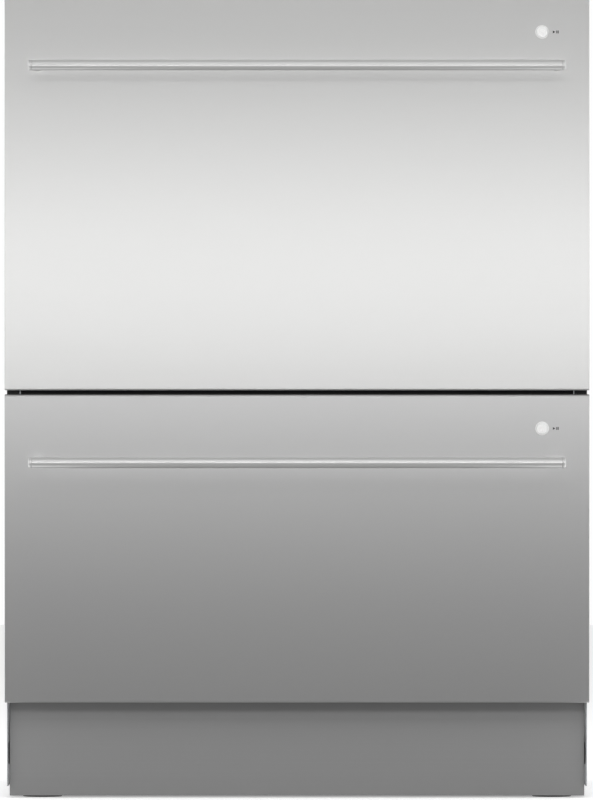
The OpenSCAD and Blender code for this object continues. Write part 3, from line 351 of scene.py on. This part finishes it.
def plastic(name, color, roughness, grain_mm, relief, share, rough_by):
    """Moulded plastic: a fine spark-eroded grain and slow changes of gloss."""
    made = Surface(name, color, 0.0, roughness)
    fine = made.noise((1000 / grain_mm,) * 3, 2, 0.5)
    slow = made.noise(MOULD_SWIRLS, 3, 0.5, 2)
    made.tint(made.spread(slow, 0, 1), share)
    made.rough(slow, rough_by)
    made.bump(fine, relief)
    return made


def perforated():
    """The filter's sheet: round holes in a square pattern, but none where the post stands. Painted
    shade darkens the holes.
    """
    made = metal("filter_steel", (0.66, 0.67, 0.68), 0.34, (700, 700, 700), 0.03, 0.05)
    holes = made.cells(FILTER_HOLES_PER_M, 0.0, "2D")
    flat = node(made.tree, "VectorMath", operation="MULTIPLY")
    flat.inputs[1].default_value = (1, 1, 0)
    made.link(made.place, flat.inputs[0])
    away = node(made.tree, "VectorMath", operation="DISTANCE")
    low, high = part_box("upper_filter_plate")
    away.inputs[1].default_value = ((low.x + high.x) / 2, (low.y + high.y) / 2, 0)
    made.link(flat.outputs[0], away.inputs[0])
    off_post = made.spread(away.outputs["Value"], 0, 1, *FILTER_POST_EDGE)
    dots = node(made.tree, "Math", operation="MULTIPLY")
    made.link(made.spread(holes["Distance"], 1, 0, *FILTER_HOLE_EDGE), dots.inputs[0])
    made.link(off_post, dots.inputs[1])
    # Painted shade: the holes are darkened towards that colour
    made.tint(dots.outputs[0], 0, FILTER_HOLE_PAINTED_SHADE)
    made.bump(made.spread(dots.outputs[0], 1, 0, 0, 1), FILTER_HOLE_DEPTH)
    return made


def galvanised():
    """Zinc-coated sheet: each flake has its own tone and gloss."""
    made = Surface("galvanised_sheet", (0.6, 0.62, 0.635), 0.85, 0.46)
    flakes = made.cells(ZINC_FLAKES_PER_M, 1.0)
    tone = node(made.tree, "SeparateColor")
    made.link(flakes["Color"], tone.inputs[0])
    made.tint(tone.outputs[0], 0.035)
    made.rough(tone.outputs[1], 0.05)
    made.bump(made.noise((500, 500, 500), 3, 0.6), 3e-6)
    return made


SURFACES = {
    "brushed_steel": metal("brushed_steel", (0.66, 0.66, 0.655), colour_share=0.005,
                           **DOOR_STEEL).brush("Z"),
    # The lower door's steel, darker than the upper door's: painted shade for the lower door, which
    # gets less light
    "brushed_steel_painted_shade": metal("brushed_steel_painted_shade", (0.565, 0.565, 0.565), colour_share=0.006,
                                 **DOOR_STEEL).brush("Z"),
    "satin_steel": metal("satin_steel", (0.3, 0.3, 0.3), 0.6, (0.8, 1500, 2200), relief=0,
                         Anisotropic=0.3, Metallic=0.35).brush("Z"),
    "polished_steel": metal("polished_steel", (0.75, 0.75, 0.745), 0.36, (6, 2400, 2400),
                            relief=1e-6, Anisotropic=0.3, Metallic=0.75).brush("X"),
    "satin_chrome": metal("satin_chrome", (0.9, 0.9, 0.895), 0.3, (900, 900, 900), 0.01, 0.03,
                          relief=0, Metallic=0.35),
    "button_metal": metal("button_metal", (0.9, 0.9, 0.895), 0.34, (900, 900, 900), 0.02, 0.03,
                          relief=0, Anisotropic=0.6, Metallic=0.25).brush("Y", 0.0),
    "chrome": metal("chrome", (0.86, 0.86, 0.86), 0.12, (300, 300, 300), 0.01, relief=0),
    "zinc_steel": metal("zinc_steel", (0.62, 0.64, 0.65), 0.42, (60, 60, 900), 0.05, 0.06, 3e-6),
    "filter_steel": perforated(),
    "galvanised_sheet": galvanised(),
}
# Colour, roughness, size of the grain in mm, its height, and the changes of colour and roughness
PLASTICS = {
    "black_paint": ((0.01, 0.01, 0.01), 0.75, 0.3, 8e-6, 0.15, 0.05),
    "black_rubber": ((0.018, 0.018, 0.018), 0.7, 0.4, 1.2e-5, 0.2, 0.06),
    "black_plastic": ((0.03, 0.03, 0.031), 0.5, 0.5, 1e-5, 0.12, 0.05),
    "grey_plastic": ((0.3, 0.315, 0.33), 0.45, 0.5, 8e-6, 0.03, 0.05),
    "tub_plastic": ((0.56, 0.59, 0.615), 0.36, 0.8, 5e-6, 0.02, 0.04),
    "pale_plastic": ((0.74, 0.76, 0.775), 0.4, 0.6, 5e-6, 0.015, 0.04),
    "white_plastic": ((0.82, 0.82, 0.81), 0.3, 0.8, 4e-6, 0.015, 0.04),
    "rack_wire": ((0.62, 0.65, 0.675), 0.32, 0.7, 6e-6, 0.03, 0.05),
}
SURFACES.update((name, plastic(name, *values)) for name, values in PLASTICS.items())

# ---------- Making pieces ----------

NORMAL_WEIGHT = 60


def weigh_normals(ob, keep_sharp):
    """Keeps flat faces flat in shading next to rounded edges."""
    normals = ob.modifiers.new("normals", "WEIGHTED_NORMAL")
    normals.weight = NORMAL_WEIGHT
    normals.keep_sharp = keep_sharp


def finish_piece(name, bm, body, slot, replaced=(), sharp=40, look=None):
    """Makes the mesh an object on its body, in its finish, for the CAD nodes it replaces."""
    bmesh.ops.recalc_face_normals(bm, faces=bm.faces)
    mesh = bpy.data.meshes.new(name)
    bm.to_mesh(mesh)
    bm.free()
    mesh.shade_smooth()
    mesh.set_sharp_from_angle(angle=math.radians(sharp))
    mesh.materials.append(SURFACES[look or slot].mat)
    ob = link(bpy.data.objects.new(name, mesh))
    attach(ob, body)
    if replaced:
        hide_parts(*replaced)
    return ob


def arc(mid, radius, start, end, steps):
    """Points of an arc round mid, with its angles in degrees from the first coordinate's axis."""
    turns = [math.radians(start + (end - start) * i / steps) for i in range(steps + 1)]
    return [(mid[0] + radius * math.cos(t), mid[1] + radius * math.sin(t)) for t in turns]


def circle(radius, count):
    """Corners of a regular polygon round the origin."""
    return [(radius * math.cos(math.tau * i / count), radius * math.sin(math.tau * i / count))
            for i in range(count)]


def lathe(bm, profile, origin, axis, segments=64):
    """Turns (radius, distance along the axis) points round it; a radius of 0 closes an end."""
    turn = Vector(axis).to_track_quat("Z", "X").to_matrix()
    origin = Vector(origin)
    rings = []
    for radius, along in profile:
        corners = circle(radius, segments)[:segments if radius else 1]
        rings.append([bm.verts.new(origin + turn @ Vector((*corner, along))) for corner in corners])
    for low, high in zip(rings, rings[1:]):
        for i in range(segments):
            corners = [low[i % len(low)], low[(i + 1) % segments % len(low)],
                       high[(i + 1) % segments % len(high)], high[i % len(high)]]
            kept = list(dict.fromkeys(corners))
            if len(kept) > 2:
                bm.faces.new(kept)


def bend(points, radius, steps=4):
    """Rounds the inner corners of a line of points."""
    points = [Vector(p) for p in points]
    made = [points[0]]
    for before, corner, after in zip(points, points[1:], points[2:]):
        back = before - corner
        ahead = after - corner
        reach = min(radius, back.length / 2, ahead.length / 2)
        start = corner + back.normalized() * reach
        end = corner + ahead.normalized() * reach
        for i in range(steps + 1):
            t = i / steps
            made.append(start * (1 - t) ** 2 + corner * 2 * t * (1 - t) + end * t ** 2)
    made.append(points[-1])
    return made


# A rounded wire end: the radius and how far it stands out, in shares of the wire's radius
DOME = ((0.8, 0.0), (0.4, 0.32))


def tube(bm, path, radius, sides=8, closed=False, domed=False):
    """Sweeps a round wire along a path."""
    points = [Vector(p) for p in path]
    count = len(points)
    if closed:
        heads = [(points[(i + 1) % count] - points[i - 1]).normalized() for i in range(count)]
    else:
        heads = [(points[min(i + 1, count - 1)] - points[max(i - 1, 0)]).normalized()
                 for i in range(count)]
    up = heads[0].orthogonal().normalized()
    stations = []
    for point, ahead in zip(points, heads):
        up = (up - ahead * up.dot(ahead)).normalized()
        stations.append((point, ahead, up, radius))
    if domed:
        for share, out in DOME:
            first = points[0] - heads[0] * radius * out
            last = points[-1] + heads[-1] * radius * out
            stations.insert(0, (first, heads[0], stations[0][2], radius * share))
            stations.append((last, heads[-1], stations[-1][2], radius * share))
    rings = []
    for point, ahead, up, r in stations:
        side = ahead.cross(up)
        turns = [math.tau * k / sides for k in range(sides)]
        rings.append([bm.verts.new(point + (up * math.cos(t) + side * math.sin(t)) * r)
                      for t in turns])
    pairs = list(zip(rings, rings[1:])) + ([(rings[-1], rings[0])] if closed else [])
    for low, high in pairs:
        for k in range(sides):
            bm.faces.new((low[k], low[(k + 1) % sides], high[(k + 1) % sides], high[k]))
    if not closed:
        bm.faces.new(rings[0][::-1])
        bm.faces.new(rings[-1])


# ---------- Doors ----------

SKIN_T = 0.0012
SIDE_EDGE, SIDE_STEPS = 0.0008, 4
TOP_EDGE, TOP_STEPS = 0.003, 8
BOTTOM_EDGE, BOTTOM_STEPS = 0.0016, 6
HOLE_R, HOLE_SIDES = 0.00635, 48
SKIN_SHARP = 50         # degrees from which an edge of the skin is sharp


def make_skin(d):
    """The folded steel front, rounder at its top than at its sides, with the button's hole."""
    low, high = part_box(d + "_door_skin")
    bm = bmesh.new()

    def outline(x, inset):
        """The section at x, from the back of the underside round the front to the top's back."""
        top_r, bottom_r = TOP_EDGE - inset, BOTTOM_EDGE - inset
        front, bottom, top = low.y + inset, low.z + inset, high.z - inset
        points = [(high.y, bottom)]
        points += arc((front + bottom_r, bottom + bottom_r), bottom_r, 270, 180, BOTTOM_STEPS)
        points += arc((front + top_r, top - top_r), top_r, 180, 90, TOP_STEPS)
        return [bm.verts.new((x, y, z)) for y, z in points + [(high.y, top)]]

    stations = []
    for i in reversed(range(SIDE_STEPS + 1)):
        t = math.radians(90 * i / SIDE_STEPS)
        stations.append((low.x + SIDE_EDGE * (1 - math.sin(t)), SIDE_EDGE * (1 - math.cos(t))))
    stations += [(-x, inset) for x, inset in reversed(stations)]
    rows = [outline(x, inset) for x, inset in stations]
    flat_column, flat_row = SIDE_STEPS, BOTTOM_STEPS + 1
    for column, (left, right) in enumerate(zip(rows, rows[1:])):
        for k in range(len(left) - 1):
            made = bm.faces.new((left[k], right[k], right[k + 1], left[k + 1]))
            if (column, k) == (flat_column, flat_row):
                front_face = made
    bm.faces.new(rows[0])
    bm.faces.new(rows[-1][::-1])

    ring_low, ring_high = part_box(d + "_button_bezel")
    mid = (ring_low + ring_high) / 2
    edges = list(front_face.edges)
    bm.faces.remove(front_face)
    hole = [bm.verts.new((mid.x + x, low.y, mid.z + z)) for x, z in circle(HOLE_R, HOLE_SIDES)]
    edges += [bm.edges.new((hole[i], hole[(i + 1) % HOLE_SIDES])) for i in range(HOLE_SIDES)]
    bmesh.ops.triangle_fill(bm, edges=edges, use_beauty=True, use_dissolve=False,
                            normal=(0, -1, 0))
    bm.edges.index_update()
    rim = {e.index for e in bm.edges if e.is_boundary}
    # The lower door takes the darker copy of its steel, painted shade
    look = "brushed_steel_painted_shade" if d == "lower" else None
    ob = finish_piece(d + "_steel_front", bm, d + "_drawer", "brushed_steel", [d + "_door_skin"],
                      SKIN_SHARP, look)
    for edge in ob.data.edges:
        edge.use_edge_sharp = edge.use_edge_sharp or edge.index in rim
    fold = ob.modifiers.new("sheet", "SOLIDIFY")
    fold.thickness = SKIN_T
    fold.offset = -1
    fold.use_even_offset = True
    weigh_normals(ob, True)


# ---------- Handles ----------

BAR_R = 0.0055
BAR_EDGE = 0.0006
END_SEAM_DEPTH, END_SEAM = 0.0005, 0.0006       # the groove between the bar and its end cap
END_START = 0.00005
END_EDGE = 0.0022
POST_R, POST_SIDES = 0.005, 48
POST_SLIM_R = 0.0046
POST_FLARE = 0.003
POST_FOOT_SLOPE = 0.0006
POST_SINK = 0.6         # where a post starts behind its bar's axis, in shares of the bar's radius


def make_handle(d):
    """The bar, and its rounded caps with the posts from behind it to their feet on the door."""
    low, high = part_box(d + "_handle_bar")
    ends_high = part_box(d + "_handle_posts")[1]
    mid = (low + high) / 2
    half = (high.x - low.x) / 2
    bm = bmesh.new()
    profile = [(0, -half)] + arc((BAR_R - BAR_EDGE, -half + BAR_EDGE), BAR_EDGE, -90, 0, 3)
    profile += [(r, -a) for r, a in reversed(profile)]
    lathe(bm, profile, mid, (1, 0, 0))
    bar = finish_piece(d + "_bar", bm, d + "_drawer", "polished_steel", [d + "_handle_bar"])

    cap_t = ends_high.x - half
    foot = ends_high.y - mid.y
    cap = [(0, END_START), (BAR_R - END_SEAM_DEPTH, END_START), (BAR_R, END_SEAM)]
    cap += arc((BAR_R - END_EDGE, cap_t - END_EDGE), END_EDGE, 0, 90, 6) + [(0, cap_t)]
    flare = foot - POST_FLARE
    post = [(0, BAR_R * POST_SINK), (POST_SLIM_R, BAR_R * POST_SINK),
            (POST_SLIM_R, flare - POST_FLARE), (POST_SLIM_R, flare),
            (BAR_R, flare + POST_FOOT_SLOPE), (BAR_R, foot), (0, foot)]
    bm = bmesh.new()
    for side in SIDES:
        lathe(bm, cap, (mid.x + side * half, mid.y, mid.z), (side, 0, 0))
        lathe(bm, post, (mid.x + side * (half - POST_R), mid.y, mid.z), (0, 1, 0), POST_SIDES)
    ends = finish_piece(d + "_bar_ends_and_posts", bm, d + "_drawer", "polished_steel",
                        [d + "_handle_posts"])
    return bar, ends


# ---------- Start buttons ----------

TURNED_SHARP = 30               # degrees from which an edge of a turned part is sharp
CAP_DEPTH = 0.0042
CAP_RIM = 0.0012                # width of the raised rim and of the slope inside it
RIDGE_SHARES = (0.34, 0.67)     # radii of the spun ridges, in shares of the radius inside the rim

# Parts of the cap's section: (offset from a radius, depth behind the rim)
CAP_MIDDLE = ((0, 0.0005), (0.001, 0.00048))
RIDGE = ((-0.00035, 0.0004), (-0.0002, 0.0002), (0.0002, 0.0002), (0.00035, 0.00045))
RIM_INSIDE = ((-0.0005, 0.0005), (0, 0.0001), (0.0003, 0))
RIM_OUTSIDE = ((-0.0005, 0), (-0.00015, 0.00015), (0, 0.0005))

RING_GAP = 0.0001               # between the cap and the trim ring
RING_DEPTH = 0.003
RING_WALL = 0.0005

MARK_PROUD, MARK_SINK = 0.00006, 0.0001
MARK_HALF = 0.0015
MARK_START = 0.011              # from the button's middle to the triangle
TRIANGLE_LENGTH = 1.7 * MARK_HALF
PAUSE_START, PAUSE_PITCH, PAUSE_BAR = 0.0036, 0.0014, 0.0009


def shifted(section, radius):
    return [(radius + offset, depth) for offset, depth in section]


def make_start_cap(d):
    """The cap with its raised rim and spun ridges, and the stem behind it."""
    low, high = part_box(d + "_button")
    mid = (low + high) / 2
    radius = (high.x - low.x) / 2
    rim = radius - CAP_RIM
    stem = high.y - low.y
    profile = list(CAP_MIDDLE)
    for share in RIDGE_SHARES:
        profile += shifted(RIDGE, rim * share)
    profile += shifted(RIM_INSIDE, rim) + shifted(RIM_OUTSIDE, radius)
    profile += [(radius, CAP_DEPTH), (radius / 2, CAP_DEPTH), (radius / 2, stem), (0, stem)]
    bm = bmesh.new()
    lathe(bm, profile, (mid.x, low.y, mid.z), (0, 1, 0))
    finish_piece(d + "_start_cap", bm, d + "_start_button", "button_metal", [d + "_button"],
                 TURNED_SHARP)


def make_trim_ring(d):
    """The ring round the cap, with a half-round lip."""
    low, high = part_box(d + "_button")
    ring_low, ring_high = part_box(d + "_button_bezel")
    mid = (low + high) / 2
    hole = (high.x - low.x) / 2 + RING_GAP
    ring_r = (ring_high.x - ring_low.x) / 2
    proud = FACE_Y - ring_low.y
    lip = proud / 2
    profile = [(hole, RING_DEPTH), (hole, lip)] + arc((hole + lip, lip), lip, 180, 270, 4)
    profile += arc((ring_r - lip, lip), lip, 270, 360, 4) + [(ring_r, proud)]
    profile += [(hole + RING_WALL, proud), (hole + RING_WALL, RING_DEPTH), (hole, RING_DEPTH)]
    bm = bmesh.new()
    lathe(bm, profile, (mid.x, ring_low.y, mid.z), (0, 1, 0))
    finish_piece(d + "_trim_ring", bm, d + "_drawer", "chrome", [d + "_button_bezel"],
                 TURNED_SHARP, "satin_chrome")


def make_start_marks(d):
    """The printed triangle and two bars beside the button."""
    low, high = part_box(d + "_button")
    mid = (low + high) / 2
    start = mid.x + MARK_START
    outlines = [[(start, -MARK_HALF), (start + TRIANGLE_LENGTH, 0), (start, MARK_HALF)]]
    for k in range(2):
        left = start + PAUSE_START + k * PAUSE_PITCH
        right = left + PAUSE_BAR
        outlines.append([(left, -MARK_HALF), (right, -MARK_HALF), (right, MARK_HALF),
                         (left, MARK_HALF)])
    bm = bmesh.new()
    for outline in outlines:
        flat = bm.faces.new([bm.verts.new((x, FACE_Y - MARK_PROUD, mid.z + z))
                             for x, z in outline])
        made = bmesh.ops.extrude_face_region(bm, geom=[flat])
        for v in made["geom"]:
            if isinstance(v, bmesh.types.BMVert):
                v.co.y = FACE_Y + MARK_SINK
    finish_piece(d + "_start_marks", bm, d + "_drawer", "black_paint")


# ---------- Racks ----------

WIRE_SHARP = 50             # degrees from which an edge of the wires is sharp
HINGE_R = 0.0025
ROD_INSET = 0.0003
WIRE_R = 0.0015
COARSE_R = 0.0018           # the dish rack's top rim and the stems of its hinge eyes
CROSS_R = 0.0014            # its U-shaped wires
THIN_R = 0.0011             # the cup rack's cross wires
LAYER = 2 * THIN_R          # height of one layer of wires over the one below it

WIRES_ALONG_X, WIRES_ALONG_Y = 10, 12
SIDE_H = 0.066
SIDE_CORNER_R = 0.012
RIM_HEIGHTS = (0.36, 0.68)  # of the two lower rims, in shares of the sides' height
RIM_INSET = 0.0006          # how far they lie inside the U-shaped wires
TOP_RIM_INSET = 0.0004
RIM_CORNER_R = 0.022

TINE_SHARES = (-0.37, -0.226, -0.038, 0.106)    # rows, in shares of the rack's width off its middle
TINE_COUNT = 14
TINE_PITCH = 0.026
TINE_H = 0.072
TINE_RAIL_END = 0.02        # how far a row's rail goes past its last tine

CUP_RACK_LEN = 0.38
CUP_CORNER_R = 0.02
CUP_CROSS_WIRES = 12
CUP_LONG_WIRES = (0.36, 0.68)

EYE_THICK = 0.006
EYE_AWAY = 0.0033           # from the cup rack's end to the middle of its hinge eye
EYE_BORE_GAP = 0.0001
EYE_WALL, EYE_WALL_MID = 0.0022, 0.0024
EYE_SIDES = 24
STEM_DROP = 0.03
STEM_GAP = 0.0004
STEM_OVER_AXIS = 0.0025
STEM_CORNER_R = 0.003


def rounded_ring(xs, ys, z):
    """A closed rectangle with rounded corners at one height."""
    corners = [Vector((xs[i], ys[k], z)) for i, k in ((0, 0), (1, 0), (1, 1), (0, 1))]
    around = []
    for i, corner in enumerate(corners):
        before, after = corners[i - 1], corners[(i + 1) % 4]
        around += bend([(corner + before) / 2, corner, (corner + after) / 2], RIM_CORNER_R, 5)[1:-1]
    return around


def make_dish_rack(d):
    """U-shaped wires both ways, rims, rows of tines, and the eyes of the cup rack's hinge."""
    node_name = d + "_dish_rack"
    low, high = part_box(node_name)
    mid_x, mid_y = (low.x + high.x) / 2, (low.y + high.y) / 2
    base, top = low.z + WIRE_R, low.z + SIDE_H - WIRE_R
    left, right = low.x + WIRE_R, high.x - WIRE_R
    front, back = low.y + WIRE_R, high.y - WIRE_R
    bm = bmesh.new()

    for i in range(WIRES_ALONG_X):
        y = front + (back - front) * (i + 0.5) / WIRES_ALONG_X
        wire = [(left, y, top), (left, y, base), (right, y, base), (right, y, top)]
        tube(bm, bend(wire, SIDE_CORNER_R), CROSS_R)
    for i in range(WIRES_ALONG_Y):
        x = left + (right - left) * (i + 0.5) / WIRES_ALONG_Y
        inside = base + LAYER
        wire = [(x, front, top), (x, front, inside), (x, back, inside), (x, back, top)]
        tube(bm, bend(wire, SIDE_CORNER_R), CROSS_R)

    rims = [(low.z + SIDE_H * share, WIRE_R, LAYER + RIM_INSET) for share in RIM_HEIGHTS]
    for z, radius, inset in rims + [(top, COARSE_R, TOP_RIM_INSET)]:
        around = rounded_ring((left + inset, right - inset), (front + inset, back - inset), z)
        tube(bm, around, radius, closed=True)

    row = TINE_PITCH * (TINE_COUNT - 1) / 2
    rail_z = base + 2 * LAYER
    tine_top = low.z + TINE_H - WIRE_R * DOME[-1][1]
    for share in TINE_SHARES:
        x = mid_x + share * (high.x - low.x)
        tube(bm, [(x, mid_y - row - TINE_RAIL_END, rail_z),
                  (x, mid_y + row + TINE_RAIL_END, rail_z)], WIRE_R)
        for i in range(TINE_COUNT):
            y = mid_y - row + i * TINE_PITCH
            tube(bm, [(x, y, base + LAYER), (x, y, tine_top)], WIRE_R, domed=True)

    shelf_low, shelf_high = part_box(d + "_cup_rack")
    axis_x, axis_z = shelf_low.x + HINGE_R, (shelf_low.z + shelf_high.z) / 2
    bore = HINGE_R + EYE_BORE_GAP
    eye = [(bore, -EYE_THICK / 2), (bore + EYE_WALL, -EYE_THICK / 2), (bore + EYE_WALL_MID, 0),
           (bore + EYE_WALL, EYE_THICK / 2), (bore, EYE_THICK / 2), (bore, -EYE_THICK / 2)]
    for side in SIDES:
        y = mid_y + side * (CUP_RACK_LEN / 2 + EYE_AWAY)
        lathe(bm, eye, (axis_x, y, axis_z), (0, 1, 0), EYE_SIDES)
        stem_z = axis_z + STEM_OVER_AXIS
        stem = [(left, y, top - STEM_DROP), (left, y, stem_z),
                (axis_x - bore - STEM_GAP, y, stem_z)]
        tube(bm, bend(stem, STEM_CORNER_R, 3), COARSE_R)
    finish_piece(d + "_wire_rack", bm, d + "_drawer", "rack_wire", [node_name], WIRE_SHARP)


def make_cup_rack(d):
    """The folding shelf: a hinge rod, a rim wire and cross wires."""
    node_name = d + "_cup_rack"
    low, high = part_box(node_name)
    mid_y = (low.y + high.y) / 2
    axis_x, axis_z = low.x + HINGE_R, (low.z + high.z) / 2
    edge = high.x - WIRE_R
    near, far = mid_y - CUP_RACK_LEN / 2 + WIRE_R, mid_y + CUP_RACK_LEN / 2 - WIRE_R
    bm = bmesh.new()
    tube(bm, [(axis_x, low.y + ROD_INSET, axis_z), (axis_x, high.y - ROD_INSET, axis_z)], HINGE_R,
         16, domed=True)
    rim = [(axis_x, near, axis_z), (edge, near, axis_z), (edge, far, axis_z), (axis_x, far, axis_z)]
    tube(bm, bend(rim, CUP_CORNER_R, 6), WIRE_R)
    for i in range(1, CUP_CROSS_WIRES + 1):
        y = near + (far - near) * i / (CUP_CROSS_WIRES + 1)
        tube(bm, [(axis_x, y, axis_z), (edge, y, axis_z)], THIN_R)
    for share in CUP_LONG_WIRES:
        x = axis_x + (edge - axis_x) * share
        tube(bm, [(x, near, axis_z), (x, far, axis_z)], THIN_R)
    finish_piece(d + "_cup_shelf", bm, d + "_cup_rack", "rack_wire", [node_name], WIRE_SHARP)


unshadowed = bpy.data.collections.new("pieces the strip lamp passes")
for drawer in DRAWERS:
    make_skin(drawer)
    for piece in make_handle(drawer):
        unshadowed.objects.link(piece)
    make_start_cap(drawer)
    make_trim_ring(drawer)
    make_start_marks(drawer)
    make_dish_rack(drawer)
    make_cup_rack(drawer)

# The strip lamp stands in for a gradient behind the camera, so the bars cast no shadow of it
for entry in unshadowed.collection_objects:
    entry.light_linking.link_state = "EXCLUDE"
strip_lamp.light_linking.blocker_collection = unshadowed

# ---------- CAD nodes that stay ----------

EDGE = 0.0005
# Nodes whose edges get another radius than that
ROUNDED = {"base_tray": 0, "upper_door_liner": 0.0003, "lower_door_liner": 0.0003,
           "upper_cutlery_basket": 0.00025, "lower_cutlery_basket": 0.00025}
# Nodes with many holes in their flats, which would fold there if they weren't cut into triangles
SPLIT = ("cutlery_basket", "lid", "filter_plate", "door_liner", "impeller", "detergent_box",
         "wash_motor")
WELD_GAP = 1e-6
FLAT_DEGREES = 0.5
BEVEL_DEGREES = 38


def round_edges(ob, width, split):
    """Joins the triangles of each flat, and breaks the edges between the flats."""
    flat = ob.modifiers.new("flat", "DECIMATE")
    flat.decimate_type = "DISSOLVE"
    flat.angle_limit = math.radians(FLAT_DEGREES)
    if split:
        ob.modifiers.new("split", "TRIANGULATE").min_vertices = 5
    bevel = ob.modifiers.new("edges", "BEVEL")
    bevel.width = width
    bevel.segments = 2
    bevel.limit_method = "ANGLE"
    bevel.angle_limit = math.radians(BEVEL_DEGREES)
    bevel.use_clamp_overlap = True
    bevel.miter_outer = "MITER_ARC"


def dress(name):
    """Gives a CAD node its material, clean faces and broken edges."""
    ob = CAD_NODES[name]
    slot = ob.data.materials[0].name.split(".")[0]
    ob.data.materials.clear()
    ob.data.materials.append(SURFACES[slot].mat)
    for polygon in ob.data.polygons:
        polygon.use_smooth = True
    ob.modifiers.new("weld", "WELD").merge_threshold = WELD_GAP
    width = ROUNDED.get(name, EDGE)
    if width:
        round_edges(ob, width, name.partition("_")[2] in SPLIT)
    weigh_normals(ob, False)


for cad_name in sorted(CAD_NODES):
    dress(cad_name)
